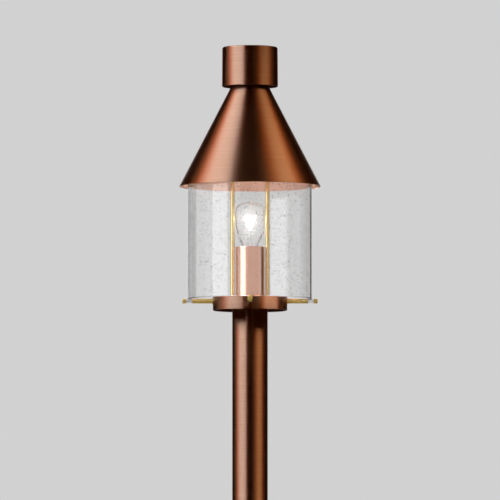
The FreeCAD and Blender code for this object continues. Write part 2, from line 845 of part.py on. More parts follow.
def lampholder():
    """Sleeve, porcelain lampholder with its contacts, and the hollow nipple that clamps it to the hub."""
    keep(
        turned(
            "lamp_sleeve",
            [
                ("sleeve_inside", "collar_top"),
                ("sleeve_radius", "collar_top"),
                ("sleeve_radius", "sleeve_top"),
                ("sleeve_inside", "sleeve_top"),
            ],
        )
    )
    keep(
        turned(
            "lampholder_foot",
            [
                ("nipple_radius + slip_gap", "collar_top"),
                ("sleeve_inside - fit_gap", "collar_top"),
                ("sleeve_inside - fit_gap", "foot_top"),
                ("nipple_radius + slip_gap", "foot_top"),
            ],
        )
    )
    keep(
        turned(
            "lampholder_body",
            [
                ("chamber_radius", "foot_top"),
                ("holder_radius", "foot_top"),
                ("holder_radius", "holder_top"),
                ("holder_inside", "holder_top"),
                ("holder_inside", "socket_floor"),
                ("contact_stem / 2 + slip_gap", "socket_floor"),
                ("contact_stem / 2 + slip_gap", "chamber_top"),
                ("chamber_radius", "chamber_top"),
            ],
        )
    )
    keep(
        turned(
            "lampholder_shell",
            [
                ("shell_inside", "socket_floor"),
                ("shell_outside", "socket_floor"),
                ("shell_outside", "holder_top - shell_setback"),
                ("shell_inside", "holder_top - shell_setback"),
            ],
        )
    )
    keep(
        turned(
            "centre_contact",
            [
                ("0", "chamber_top"),
                ("contact_stem / 2", "chamber_top"),
                ("contact_stem / 2", "socket_floor"),
                ("contact_diameter / 2", "socket_floor"),
                ("contact_diameter / 2", "socket_floor + contact_plate"),
                ("contact_stem / 2", "socket_floor + contact_plate"),
                ("contact_stem / 2", "contact_top"),
                ("0", "contact_top"),
            ],
        )
    )
    terminals = []
    for side, sign in (("left", "-"), ("right", "")):
        middle = f"{sign}terminal_offset"
        reach = "terminal_width / 2"
        corners = [
            (f"{middle} - {reach}", f"-{reach}"),
            (f"{middle} + {reach}", f"-{reach}"),
            (f"{middle} + {reach}", reach),
            (f"{middle} - {reach}", reach),
        ]
        terminals.append(
            padded(f"holder_terminal_{side}", "XY_Plane", corners, "terminal_length", "terminal_under")
        )
    group("holder_terminals", terminals)
    keep(
        turned(
            "lamp_nipple",
            [
                ("nipple_bore / 2", "nipple_bottom"),
                ("nipple_radius", "nipple_bottom"),
                ("nipple_radius", "nipple_top"),
                ("nipple_bore / 2", "nipple_top"),
            ],
        )
    )
    bore = "nipple_radius + slip_gap"
    nut_places = {"lower": "nipple_nut_under", "upper": "foot_top"}
    nuts = [
        hex_nut(f"nipple_nut_{end}", "nipple_nut_across", "nipple_nut_height", bore, ("0", "0", level))
        for end, level in nut_places.items()
    ]
    group("nipple_nuts", nuts)


def terminal_block():
    """Strap under the hub with the terminal block, its screws, the earth screw and the leads."""
    half = "strap_width / 2"
    strap = padded(
        "terminal_strap",
        "YZ_Plane",
        [
            (f"-{half}", "strap_under"),
            ("block_back", "strap_under"),
            ("block_back", "strap_bottom"),
            ("strap_reach", "strap_bottom"),
            ("strap_reach", "hub_bottom"),
            (f"-{half}", "hub_bottom"),
        ],
        "strap_width",
        f"-{half}",
    )
    cut(strap, circles(strap, "strap_nipple_hole", "XY_Plane", [("0", "0")], "nipple_radius + slip_gap"))
    earth_hole = "earth_screw / 2 + slip_gap"
    earth_sketch = circles(strap, "strap_earth_hole", "XZ_Plane", [("0", "earth_level")], earth_hole)
    cut(strap, earth_sketch, both_ways=True)
    keep(strap)

    wide = "block_width / 2"
    front = "block_back - block_depth"
    keep(
        padded(
            "terminal_block",
            "XY_Plane",
            [(f"-{wide}", front), (wide, front), (wide, "block_back"), (f"-{wide}", "block_back")],
            "block_height",
            "block_bottom",
        )
    )
    screws = []
    for index, step in enumerate(("-block_pitch", "0", "block_pitch"), start=1):
        screw = doc.addObject("Part::Cylinder", f"terminal_screw_{index}")
        screw.setExpression("Radius", bound("block_screw / 2"))
        screw.setExpression("Height", bound("block_screw_rise"))
        screw.Placement.Rotation = FreeCAD.Rotation(FreeCAD.Vector(1, 0, 0), 90)
        screw.setExpression("Placement.Base.x", bound(step))
        screw.setExpression("Placement.Base.y", bound(front))
        screw.setExpression("Placement.Base.z", bound("block_bottom + block_height / 2"))
        screws.append(screw)
    group("terminal_screws", screws)

    earth = turned(
        "earth_screw",
        [
            ("block_back - earth_screw_rise", "0"),
            ("block_back - earth_screw_rise", "earth_screw_head / 2"),
            ("block_back", "earth_screw_head / 2"),
            ("block_back", "earth_screw / 2"),
            ("strap_reach", "earth_screw / 2"),
            ("strap_reach", "0"),
        ],
        axis="H_Axis",
    )
    earth.Placement.Rotation = FreeCAD.Rotation(FreeCAD.Vector(0, 0, 1), 90)
    earth.setExpression("Placement.Base.z", bound("earth_level"))
    keep(earth)

    wire = number("lead_diameter / 2")
    bend = number("lead_bend")
    runs = []
    for sign in ("-", ""):
        inner = f"{sign}lead_offset"
        outer = f"{sign}terminal_offset"
        route = [
            vector(inner, "0", "block_top"),
            vector(inner, "0", "nipple_top + lead_rise"),
            vector(outer, "0", "terminal_under - lead_rise"),
            vector(outer, "0", "terminal_under"),
        ]
        runs.append((route, bend))
    swept("lamp_leads", runs, wire)
    earth_y = "block_back - earth_screw_rise / 2"
    earth_x = "(earth_screw_head + lead_diameter) / 2 + slip_gap"
    earth_route = [vector(earth_x, earth_y, level) for level in ("earth_level", "block_bottom")]
    swept("earth_lead", [(earth_route, bend)], wire)


def bulb_outline(inset):
    """Give the bulb's outline as a face: flat crown, shoulder, straight side, long flank and neck."""
    radius = number("bulb_radius") - inset
    crown = number("bulb_crown_radius") - inset
    shoulder = number("bulb_shoulder_radius") - inset
    flank = number("bulb_flank_radius") - inset
    neck = number("bulb_neck / 2") - inset
    top = number("bulb_top") - inset
    seat = number("bulb_seat")
    crown_centre = top - crown
    inward = radius - shoulder
    shoulder_level = crown_centre + math.sqrt((crown - shoulder) ** 2 - inward**2)
    lean = math.atan2(inward, shoulder_level - crown_centre)
    touch = FreeCAD.Vector(crown * math.sin(lean), 0, crown_centre + crown * math.cos(lean))
    crown_mid = FreeCAD.Vector(crown * math.sin(lean / 2), 0, crown_centre + crown * math.cos(lean / 2))
    turn = (lean + math.pi / 2) / 2
    shoulder_mid = FreeCAD.Vector(
        inward + shoulder * math.sin(turn), 0, shoulder_level + shoulder * math.cos(turn)
    )
    flank_drop = math.sqrt(flank**2 - (flank - (radius - neck)) ** 2)
    side_level = shoulder_level - number("bulb_side_height")
    half_drop = flank_drop / 2
    flank_mid = radius - flank + math.sqrt(flank**2 - half_drop**2)
    apex = FreeCAD.Vector(0, 0, top)
    side_top = FreeCAD.Vector(radius, 0, shoulder_level)
    side_foot = FreeCAD.Vector(radius, 0, side_level)
    neck_top = FreeCAD.Vector(neck, 0, side_level - flank_drop)
    neck_foot = FreeCAD.Vector(neck, 0, seat)
    centre_foot = FreeCAD.Vector(0, 0, seat)
    edges = [
        Part.Arc(apex, crown_mid, touch),
        Part.Arc(touch, shoulder_mid, side_top),
        Part.LineSegment(side_top, side_foot),
        Part.Arc(side_foot, FreeCAD.Vector(flank_mid, 0, side_level - half_drop), neck_top),
        Part.LineSegment(neck_top, neck_foot),
        Part.LineSegment(neck_foot, centre_foot),
        Part.LineSegment(centre_foot, apex),
    ]
    return Part.Face(Part.Wire([edge.toShape() for edge in edges]))


def bulb():
    """Clear lamp: glass envelope, stem, supports and filament on a screw base with a tip contact."""
    centre = FreeCAD.Vector()
    upward = FreeCAD.Vector(0, 0, 1)
    outside = bulb_outline(0).revolve(centre, upward, 360)
    inside = bulb_outline(number("bulb_wall")).revolve(centre, upward, 360)
    envelope = doc.addObject("Part::Feature", "bulb_envelope")
    envelope.Shape = outside.cut(inside)
    keep(envelope)

    turns = int(number("base_screw_length") // number("base_thread_pitch")) - 1
    root = "base_radius - base_thread_depth"
    points = [("base_radius", "bulb_seat")]
    for index in range(turns):
        crest = f"bulb_seat - base_thread_pitch * {index + 1}"
        points.append((root, f"{crest} + base_thread_pitch / 2"))
        points.append(("base_radius", crest))
    points.append((root, "base_under"))
    points.append((f"{root} - base_shell_wall", "base_under"))
    points.append((f"{root} - base_shell_wall", "bulb_seat"))
    keep(turned("bulb_screw_base", points))
    keep(
        turned(
            "bulb_insulator",
            [
                ("0", "insulator_under"),
                ("insulator_tip / 2", "insulator_under"),
                (f"{root} - base_shell_wall / 2", "base_under"),
                ("0", "base_under"),
            ],
        )
    )
    keep(
        turned(
            "bulb_tip_contact",
            [
                ("0", "tip_under"),
                ("tip_diameter / 2 - tip_height / 2", "tip_under"),
                ("tip_diameter / 2", "tip_under + tip_height / 2"),
                ("tip_diameter / 2", "insulator_under"),
                ("0", "insulator_under"),
            ],
        )
    )
    keep(
        turned(
            "bulb_stem",
            [
                ("0", "bulb_seat"),
                ("stem_flare / 2", "bulb_seat"),
                ("stem_flare / 2", "bulb_seat + stem_flare_height"),
                ("stem_diameter / 2", "bulb_seat + stem_flare_height + stem_cone_height"),
                ("stem_press / 2", "stem_top"),
                ("0", "stem_top"),
            ],
        )
    )
    tips = []
    for sign in ("-", ""):
        foot = vector(f"{sign}(support_root)", "0", "stem_top + support_gap")
        head = vector(f"{sign}(filament_span / 2)", "0", "filament_level")
        tips.append(([foot, head], number("lead_bend")))
    swept("bulb_support_wires", tips, number("support_wire / 2"))
    gap = "(filament_wire + support_wire) / 2 + slip_gap"
    left_end = vector(f"-filament_span / 2 + {gap}", "0", "filament_level")
    crest = vector("0", "0", "filament_level + filament_arch")
    right_end = vector(f"filament_span / 2 - {gap}", "0", "filament_level")
    arch = ([left_end, crest, right_end], number("filament_span / 2"))
    swept("bulb_filament", [arch], number("filament_wire / 2"))


base_and_post()
collar_and_hub()
glass_and_pins()
hood_and_cap()
rods_and_stud()
lampholder()
terminal_block()
bulb()
doc.recompute()

for item in doc.Objects:
    if {"Invalid", "Error"} & set(item.State):
        raise RuntimeError(f"{item.Label} failed to compute")
for item in sub_parts:
    if item.Shape.isNull() or not item.Shape.isValid():
        raise RuntimeError(f"{item.Label} has no valid shape")

os.makedirs("parts", exist_ok=True)
for item in sub_parts:
    item.Shape.exportStep(f"parts/{item.Label}.step")
print(f"{len(sub_parts)} sub-parts, {number('cap_top'):.1f} mm tall")
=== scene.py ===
"""Dress the garden lamp post: its finishes, copper, seeded glass, lamp, and the studio round it."""

import logging
import math
from dataclasses import dataclass, fields, replace
from enum import Enum

import bpy
import numpy as np
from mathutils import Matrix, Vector


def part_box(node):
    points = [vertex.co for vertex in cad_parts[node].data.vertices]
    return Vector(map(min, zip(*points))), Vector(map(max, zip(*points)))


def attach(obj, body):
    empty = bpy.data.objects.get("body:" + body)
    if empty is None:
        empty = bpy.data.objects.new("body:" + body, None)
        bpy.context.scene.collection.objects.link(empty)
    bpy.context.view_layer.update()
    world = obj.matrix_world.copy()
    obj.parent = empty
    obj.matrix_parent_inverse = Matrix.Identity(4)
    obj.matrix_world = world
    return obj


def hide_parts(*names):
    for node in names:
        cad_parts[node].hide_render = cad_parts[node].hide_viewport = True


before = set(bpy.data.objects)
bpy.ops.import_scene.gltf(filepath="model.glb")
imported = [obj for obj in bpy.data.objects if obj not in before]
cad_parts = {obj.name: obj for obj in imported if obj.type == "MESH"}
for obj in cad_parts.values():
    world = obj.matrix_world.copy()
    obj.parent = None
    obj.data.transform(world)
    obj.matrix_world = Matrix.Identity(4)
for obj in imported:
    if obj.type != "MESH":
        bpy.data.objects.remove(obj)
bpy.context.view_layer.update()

LOG = logging.getLogger("garden_lamp")
Socket = bpy.types.NodeSocket
Material = bpy.types.Material
Colour = tuple[float, float, float]
Pair = tuple[float, float]

MM = 0.001
FULL_TURN = 2 * math.pi
QUARTER = 0.25
POLE = 1e-9
ARC_STEPS = 6
NOISE_MIDDLE: Pair = (0.3, 0.7)
NOISE_ROUGH = 0.6
SHARP: Pair = (0.01, 0.01)
WHITE: Colour = (1.0, 1.0, 1.0)
PALE: Colour = (0.99, 0.99, 0.99)
WARM: Colour = (1.0, 0.33, 0.07)


class Rider(Enum):
    """The bodies that pieces move with."""

    POST = "post"
    HOOD = "hood"
    CAP = "cap"
    GLASS = "glass"
    BULB = "bulb"


class Slot(Enum):
    """The finishes that the record names."""

    BRUSHED_COPPER = "brushed_copper"
    POLISHED_COPPER = "polished_copper"
    BRASS = "brass"
    STEEL = "steel"
    CAST_ALUMINIUM = "cast_aluminium"
    SEEDED_GLASS = "seeded_glass"
    CLEAR_SILICONE = "clear_silicone"
    BLACK_RUBBER = "black_rubber"
    PORCELAIN = "porcelain"
    BULB_GLASS = "bulb_glass"
    BULB_BASE_METAL = "bulb_base_metal"
    BULB_BLACK_GLASS = "bulb_black_glass"
    TUNGSTEN = "tungsten"
    TERMINAL_PLASTIC = "terminal_plastic"
    LEAD_INSULATION = "lead_insulation"


class Extra(Enum):
    """Finishes for a part of a piece, or for some of a slot's pieces."""

    INSIDE_COPPER = "inside of the hood"
    DRAWN_BRASS = "rods that carry the hood"
    GROUND_GLASS = "edges of the glass"
    SEED_GLASS = "bubbles in the glass"


class Grain(Enum):
    """How the fine lines in a metal run."""

    ROUND = "rings about the post"
    LONG = "along the height"
    EVEN = "no direction"


class NodeSheet:
    """A material's nodes, with short ways to add and join them."""

    def __init__(self, name: str) -> None:
        """Start an empty material.

        Args:
            name: The material's name.
        """
        self.material = bpy.data.materials.new(name)
        self.material.use_nodes = True
        self.nodes = self.material.node_tree.nodes
        self.links = self.material.node_tree.links
        self.nodes.clear()
        self.output = self.nodes.new("ShaderNodeOutputMaterial")

    def add(self, kind: str, inputs: dict | None = None, **settings: object) -> bpy.types.Node:
        """Add a node.

        Args:
            kind: The node's type without its usual beginning.
            inputs: Values or sockets for its inputs, by name or number.
            settings: The node's own settings.

        Returns:
            The node.
        """
        node = self.nodes.new(f"ShaderNode{kind}")
        for key, value in settings.items():
            setattr(node, key, value)
        for key, value in (inputs or {}).items():
            if isinstance(value, Socket):
                self.links.new(value, node.inputs[key])
            else:
                node.inputs[key].default_value = value
        return node

    def math(self, operation: str, *values: object) -> Socket:
        """Give the result of one sum on numbers or sockets."""
        return self.add("Math", dict(enumerate(values)), operation=operation).outputs[0]

    def place(self) -> Socket:
        """Give the place on the object, in metres."""
        return self.add("TexCoord").outputs["Object"]

    def attribute(self) -> Socket:
        """Give the number that a stage mesh holds at each point."""
        return self.add("Attribute", attribute_name="share").outputs["Fac"]

    def noise(self, place: Socket, scale: float, detail: float = 3.0) -> Socket:
        """Give soft noise from 0 to 1, read at a place with so many patches to the metre."""
        inputs = {"Vector": place, "Scale": scale, "Detail": detail, "Roughness": NOISE_ROUGH}
        return self.add("TexNoise", inputs).outputs[0]

    def between(self, value: Socket, low: float, high: float) -> Socket:
        """Spread the middle of a noise value over the range from low to high."""
        ends = dict(zip(("From Min", "From Max", "To Min", "To Max"), (*NOISE_MIDDLE, low, high)))
        return self.add("MapRange", {"Value": value} | ends).outputs[0]

    def tint(self, value: Socket, dark: Colour, light: Colour, ends: Pair = NOISE_MIDDLE) -> Socket:
        """Turn a value into a colour between dark and light.

        Args:
            value: The value.
            dark: Colour at the first end.
            light: Colour at the last end.
            ends: The values that give the two colours.

        Returns:
            The colour.
        """
        node = self.add("ValToRGB", {"Fac": value})
        for element, at, colour in zip(node.color_ramp.elements, ends, (dark, light)):
            element.position = at
            element.color = (*colour, 1.0)
        return node.outputs[0]

    def relief(self, height: Socket, depth: float) -> Socket:
        """Give the facing of a surface with that relief, its depth in metres."""
        return self.add("Bump", {"Height": height, "Strength": 1.0, "Distance": depth}).outputs[0]

    def close(self, shader: Socket) -> Material:
        """Make a shader the material's surface and give the material."""
        self.links.new(shader, self.output.inputs["Surface"])
        return self.material

    def skin(self, inputs: dict) -> Material:
        """Close the sheet with one surface shader and give its material."""
        return self.close(self.add("BsdfPrincipled", inputs).outputs[0])


@dataclass(frozen=True)
class Finish:
    """A finish with a fine grain in its colour, gloss and relief.

    Attributes:
        name: The material's name.
        dark: Colour of the darker patches.
        light: Colour of the lighter patches.
        rough: Lowest and highest roughness.
        grain: Patches to the metre.
        depth: Depth of the grain in metres.
        detail: Finer layers in the grain.
    """

    name: str
    dark: Colour
    light: Colour
    rough: Pair
    grain: float = 300.0
    depth: float = 1e-5
    detail: float = 4.0

    def pattern(self, sheet: NodeSheet) -> tuple[Socket, Socket]:
        """Give the value that the relief follows, and the one that colour and gloss follow."""
        grain = sheet.noise(sheet.place(), self.grain, self.detail)
        return grain, grain

    def colour(self, sheet: NodeSheet, shade: Socket) -> Socket:
        """Give the colour for a value of the pattern."""
        return sheet.tint(shade, self.dark, self.light)

    def inputs(self, sheet: NodeSheet) -> dict:
        """Give the surface shader's inputs.

        Args:
            sheet: The material's nodes.

        Returns:
            Values and sockets by the inputs' names.
        """
        grain, shade = self.pattern(sheet)
        inputs = {"Base Color": self.colour(sheet, shade), "Roughness": sheet.between(shade, *self.rough)}
        if self.depth:
            inputs["Normal"] = sheet.relief(grain, self.depth)
        return inputs

    def material(self) -> Material:
        """Make the material."""
        sheet = NodeSheet(self.name)
        return sheet.skin(self.inputs(sheet))


@dataclass(frozen=True)
class MetalFinish(Finish):
    """A bare or lacquered metal, whose grain is fine tool lines among slow cloudy patches.

    Attributes:
        way: How its lines run.
        streaks: Line ends to the metre.
        clouds: Cloudy patches to the metre.
        cloudy: Share of the clouds in its colour and gloss, the rest being lines.
        spread: How far the lines stretch a reflection, from 0 to 1.
        bare: Share of bare metal, the rest being tarnish.
        lacquer: Weight of a clear coat.
        lacquer_rough: Roughness of the clear coat.
    """

    grain: float = 400.0
    depth: float = 2e-6
    detail: float = 5.0
    way: Grain = Grain.EVEN
    streaks: float = 7.0
    clouds: float = 14.0
    cloudy: float = 0.45
    spread: float = 0.0
    bare: float = 1.0
    lacquer: float = 0.0
    lacquer_rough: float = 0.1

    def line_place(self, sheet: NodeSheet) -> Socket:
        """Give the place squeezed across the tool lines.

        Rings are read by height less distance from the axis, so that they run round a wall, a cone
        and a flat alike.

        Args:
            sheet: The material's nodes.

        Returns:
            The place to read the lines' noise at.
        """
        place = sheet.place()
        if self.way is Grain.EVEN:
            return place
        parts = list(sheet.add("SeparateXYZ", {0: place}).outputs)
        scales = (self.grain, self.grain, self.streaks)
        if self.way is Grain.ROUND:
            flat = sheet.add("CombineXYZ", {0: parts[0], 1: parts[1]}).outputs[0]
            out = sheet.add("VectorMath", {0: flat}, operation="LENGTH").outputs["Value"]
            parts[2] = sheet.math("SUBTRACT", parts[2], out)
            scales = (self.streaks, self.streaks, self.grain)
        values = [sheet.math("MULTIPLY", part, scale) for part, scale in zip(parts, scales)]
        return sheet.add("CombineXYZ", dict(enumerate(values))).outputs[0]

    def pattern(self, sheet: NodeSheet) -> tuple[Socket, Socket]:
        """Give the tool lines, and a mix of lines and clouds.

        Args:
            sheet: The material's nodes.

        Returns:
            The value for the relief, and the one for colour and gloss.
        """
        scale = self.grain if self.way is Grain.EVEN else 1.0
        lines = sheet.noise(self.line_place(sheet), scale, self.detail)
        clouds = sheet.noise(sheet.place(), self.clouds, detail=4.0)
        part = sheet.math("MULTIPLY", lines, 1.0 - self.cloudy)
        return lines, sheet.math("MULTIPLY_ADD", clouds, self.cloudy, part)

    def inputs(self, sheet: NodeSheet) -> dict:
        """Add the metal, its lacquer and the stretch of its reflections.

        Args:
            sheet: The material's nodes.

        Returns:
            Values and sockets by the inputs' names.
        """
        inputs = super().inputs(sheet)
        inputs["Metallic"] = self.bare
        inputs["Coat Weight"] = self.lacquer
        inputs["Coat Roughness"] = self.lacquer_rough
        if self.spread:
            inputs["Anisotropic"] = self.spread
            inputs["Anisotropic Rotation"] = QUARTER
            inputs["Tangent"] = sheet.add("Tangent", direction_type="RADIAL", axis="Z").outputs[0]
        return inputs


@dataclass(frozen=True)
class PlainFinish(Finish):
    """A solid stuff that isn't metal, such as porcelain, rubber or nylon.

    Attributes:
        clear: Share of the light that passes through.
        glaze: Weight of a clear glaze.
        glaze_rough: Roughness of the glaze.
    """

    clear: float = 0.0
    glaze: float = 0.0
    glaze_rough: float = 0.06

    def inputs(self, sheet: NodeSheet) -> dict:
        """Add the light that passes through, and the glaze."""
        coat = {"Coat Weight": self.glaze, "Coat Roughness": self.glaze_rough}
        return super().inputs(sheet) | coat | {"Transmission Weight": self.clear}


@dataclass(frozen=True)
class GlassFinish(Finish):
    """Glass with a slightly uneven face, whose grain is slow waves.

    Attributes:
        clear: Share of the light that passes through.
        index: Refractive index.
        absorbs: Colour that the body of the glass lets through.
        density: How strongly it absorbs, to the metre.
    """

    detail: float = 2.0
    clear: float = 1.0
    index: float = 1.5
    absorbs: Colour = WHITE
    density: float = 0.0

    def inputs(self, sheet: NodeSheet) -> dict:
        """Add clearness and, where the glass is thick, a grey body.

        Args:
            sheet: The material's nodes.

        Returns:
            Values and sockets by the inputs' names.
        """
        if self.density:
            body = {"Color": (*self.absorbs, 1.0), "Density": self.density}
            volume = sheet.add("VolumeAbsorption", body).outputs[0]
            sheet.links.new(volume, sheet.output.inputs["Volume"])
        return super().inputs(sheet) | {"IOR": self.index, "Transmission Weight": self.clear}


@dataclass(frozen=True)
class GlowFinish(Finish):
    """Hot filament wire, smooth and glowing unevenly along its length.

    Attributes:
        cool: Glow of the cooler turns.
        hot: Glow of the hottest turns.
        strength: Brightness of the glow.
    """

    depth: float = 0.0
    detail: float = 3.0
    cool: Colour = WHITE
    hot: Colour = WHITE
    strength: float = 1.0

    def inputs(self, sheet: NodeSheet) -> dict:
        """Add the metal and its glow."""
        glow = {"Emission Color": sheet.tint(self.pattern(sheet)[0], self.cool, self.hot)}
        return super().inputs(sheet) | glow | {"Emission Strength": self.strength, "Metallic": 1.0}


@dataclass(frozen=True)
class LeadFinish(Finish):
    """Insulated wire: its dark colour is left of the axis and its light colour right of it."""

    detail: float = 3.0

    def colour(self, sheet: NodeSheet, shade: Socket) -> Socket:
        """Give each side of the axis its own colour, whatever the grain."""
        across = sheet.add("SeparateXYZ", {0: sheet.place()}).outputs[0]
        return super().colour(sheet, sheet.math("GREATER_THAN", across, 0.0))


class Finishes:
    """All the finishes of the lamp, each made once."""

    recipes = {
        Slot.BRUSHED_COPPER: MetalFinish(
            "brushed_copper_lacquered", (0.44, 0.205, 0.094), (0.58, 0.292, 0.15), (0.38, 0.43),
            way=Grain.ROUND, spread=1.0, lacquer=0.35, lacquer_rough=0.2,
        ),
        Slot.POLISHED_COPPER: MetalFinish(
            "polished_copper_bright", (0.94, 0.55, 0.41), (0.99, 0.63, 0.5), (0.15, 0.22),
            grain=900.0, way=Grain.LONG,
        ),
        Slot.BRASS: MetalFinish(
            "turned_brass", (0.7, 0.46, 0.11), (0.92, 0.68, 0.22), (0.2, 0.32),
            grain=1500.0, way=Grain.LONG, bare=0.45,
        ),
        Slot.STEEL: MetalFinish(
            "plated_steel", (0.46, 0.46, 0.46), (0.62, 0.62, 0.61), (0.24, 0.38), grain=500.0
        ),
        Slot.CAST_ALUMINIUM: MetalFinish(
            "cast_aluminium_grey", (0.52, 0.53, 0.54), (0.7, 0.7, 0.71), (0.4, 0.58),
            grain=700.0, depth=3e-5,
        ),
        Slot.SEEDED_GLASS: GlassFinish(
            "seeded_glass_clear", PALE, WHITE, (0.0, 0.02), grain=110.0, depth=1.6e-5,
            index=1.46, absorbs=(0.87, 0.87, 0.87), density=6.0,
        ),
        Slot.CLEAR_SILICONE: PlainFinish(
            "milky_silicone", (0.86, 0.87, 0.86), (0.95, 0.95, 0.94), (0.3, 0.42), clear=0.35
        ),
        Slot.BLACK_RUBBER: PlainFinish(
            "black_rubber_moulded", (0.012, 0.012, 0.013), (0.03, 0.03, 0.031), (0.55, 0.75)
        ),
        Slot.PORCELAIN: PlainFinish(
            "glazed_porcelain", (0.76, 0.74, 0.69), (0.85, 0.84, 0.8), (0.2, 0.3), grain=120.0, glaze=0.6
        ),
        Slot.BULB_GLASS: GlassFinish(
            "thin_bulb_glass", PALE, WHITE, (0.24, 0.3), grain=30.0, depth=2e-5, clear=0.975, index=1.3
        ),
        Slot.BULB_BASE_METAL: MetalFinish(
            "pressed_screw_metal", (0.6, 0.58, 0.52), (0.78, 0.76, 0.7), (0.2, 0.34), way=Grain.ROUND
        ),
        Slot.BULB_BLACK_GLASS: PlainFinish(
            "black_insulator_glass", (0.006, 0.006, 0.007), (0.018, 0.017, 0.017), (0.08, 0.16), glaze=0.5
        ),
        Slot.TUNGSTEN: GlowFinish(
            "hot_tungsten", (0.16, 0.16, 0.17), (0.3, 0.3, 0.31), (0.35, 0.5), grain=260.0,
            cool=(1.0, 0.9, 0.78), hot=(1.0, 0.97, 0.93), strength=320.0,
        ),
        Slot.TERMINAL_PLASTIC: PlainFinish(
            "ivory_nylon", (0.66, 0.63, 0.54), (0.76, 0.74, 0.66), (0.35, 0.5)
        ),
        Slot.LEAD_INSULATION: LeadFinish(
            "lead_insulation_pair", (0.13, 0.05, 0.02), (0.03, 0.09, 0.32), (0.4, 0.55),
            grain=900.0, depth=2e-5,
        ),
        Extra.INSIDE_COPPER: MetalFinish(
            "satin_copper_inside", (0.84, 0.5, 0.38), (0.95, 0.63, 0.51), (0.36, 0.48),
            grain=300.0, way=Grain.ROUND, bare=0.55,
        ),
        Extra.DRAWN_BRASS: MetalFinish(
            "drawn_brass_rod", (0.76, 0.52, 0.2), (0.94, 0.74, 0.38), (0.11, 0.2),
            grain=1500.0, way=Grain.LONG, bare=0.8,
        ),
        # The bubbles' faces are tinted dark grey: painted shade that stands in for the dark look that
        # refraction gives real bubbles.
        Extra.SEED_GLASS: GlassFinish(
            "seed_hollow_painted_dark", (0.12, 0.12, 0.12), (0.38, 0.38, 0.38), (0.0, 0.02), grain=200.0, depth=1e-6
        ),
        Extra.GROUND_GLASS: GlassFinish(
            "ground_glass_edge", PALE, WHITE, (0.3, 0.5), grain=900.0, depth=4e-5
        ),
    }

    def __init__(self) -> None:
        """Make every material."""
        self.made = {kind: recipe.material() for kind, recipe in self.recipes.items()}

    def __getitem__(self, kind: Slot | Extra) -> Material:
        """Give the material of a slot, or of a part of a piece."""
        return self.made[kind]

    def dress_nodes(self) -> None:
        """Give every carried-over node the finish that its slot names."""
        for name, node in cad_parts.items():
            rod = name.startswith("hood_rod")
            for holder in node.material_slots:
                holder.material = self[Extra.DRAWN_BRASS if rod else Slot(holder.material.name)]
            LOG.info("dressed %s", name)


def unit(rows: np.ndarray) -> np.ndarray:
    """Give each row the length 1."""
    return rows / np.linalg.norm(rows, axis=-1, keepdims=True)


@dataclass(frozen=True)
class Surface:
    """A skin of faces held as whole arrays.

    Attributes:
        points: Places in metres, one to a row.
        corners: Point numbers, face after face.
        counts: How many corners each face has.
        normals: The facing at each corner.
        faces: Which of the piece's finishes each face takes.
    """

    points: np.ndarray
    corners: np.ndarray
    counts: np.ndarray
    normals: np.ndarray
    faces: np.ndarray

    @classmethod
    def from_rows(
        cls,
        rows: np.ndarray,
        before: np.ndarray,
        after: np.ndarray,
        faces: np.ndarray | None = None,
        closed: bool = False,
    ) -> "Surface":
        """Skin rows of points that each run once round.

        Each pair of neighbouring rows is joined by one face for every step round. A row whose points
        all meet counts as one point, and its faces are triangles.

        Args:
            rows: The points, as rows by steps by 3.
            before: The facing at the start of each strip, as strips by steps by 3.
            after: The facing at the end of each strip.
            faces: The finish number of each strip, or else the first for all.
            closed: Whether the last row joins the first.

        Returns:
            The skin.
        """
        count, steps = rows.shape[:2]
        faces = np.zeros(len(before), int) if faces is None else faces
        pole = np.ptp(rows, axis=1).max(axis=1) < POLE
        size = np.where(pole, 1, steps)
        first = np.cumsum(size) - size
        step = np.arange(steps)
        index = first[:, None] + np.where(pole[:, None], 0, step)
        low = np.arange(count if closed else count - 1)
        high = (low + 1) % count
        near, far = index[low], index[high]
        quads = np.stack([near, np.roll(near, -1, 1), np.roll(far, -1, 1), far], axis=-1)
        normals = np.stack([before, np.roll(before, -1, 1), np.roll(after, -1, 1), after], axis=2)
        kept = np.ones(quads.shape, bool)
        kept[pole[low], :, 1] = False
        kept[pole[high], :, 2] = False
        points = rows[~pole[:, None] | (step == 0)]
        return cls(points, quads[kept], kept.sum(-1).ravel(), normals[kept], np.repeat(faces, steps))

    @classmethod
    def joined(cls, parts: list["Surface"]) -> "Surface":
        """Put several skins into one.

        Args:
            parts: The skins.

        Returns:
            The one skin.
        """
        sizes = np.array([len(part.points) for part in parts])
        shifts = np.cumsum(sizes) - sizes
        moved = [replace(part, corners=part.corners + shift) for part, shift in zip(parts, shifts)]
        names = [field.name for field in fields(cls)]
        return cls(*(np.concatenate([getattr(part, name) for part in moved]) for name in names))

    def laid(self, axes: np.ndarray, origin: np.ndarray) -> "Surface":
        """Lay the skin along other axes: x, y and z run along the rows of axes, from origin."""
        return replace(self, points=self.points @ axes + origin, normals=self.normals @ axes)

    def mesh(self, name: str) -> bpy.types.Mesh:
        """Put the skin into a mesh.

        Args:
            name: The mesh's name.

        Returns:
            The mesh, smooth and without finishes.
        """
        starts = np.cumsum(self.counts) - self.counts
        mesh = bpy.data.meshes.new(name)
        mesh.vertices.add(len(self.points))
        mesh.vertices.foreach_set("co", self.points.astype(np.float32).ravel())
        mesh.loops.add(len(self.corners))
        mesh.loops.foreach_set("vertex_index", self.corners.astype(np.int32))
        mesh.polygons.add(len(self.counts))
        mesh.polygons.foreach_set("loop_start", starts.astype(np.int32))
        mesh.polygons.foreach_set("material_index", self.faces.astype(np.int32))
        mesh.polygons.foreach_set("use_smooth", np.ones(len(self.counts), bool))
        mesh.update(calc_edges=True)
        mesh.normals_split_custom_set(unit(self.normals).tolist())
        return mesh


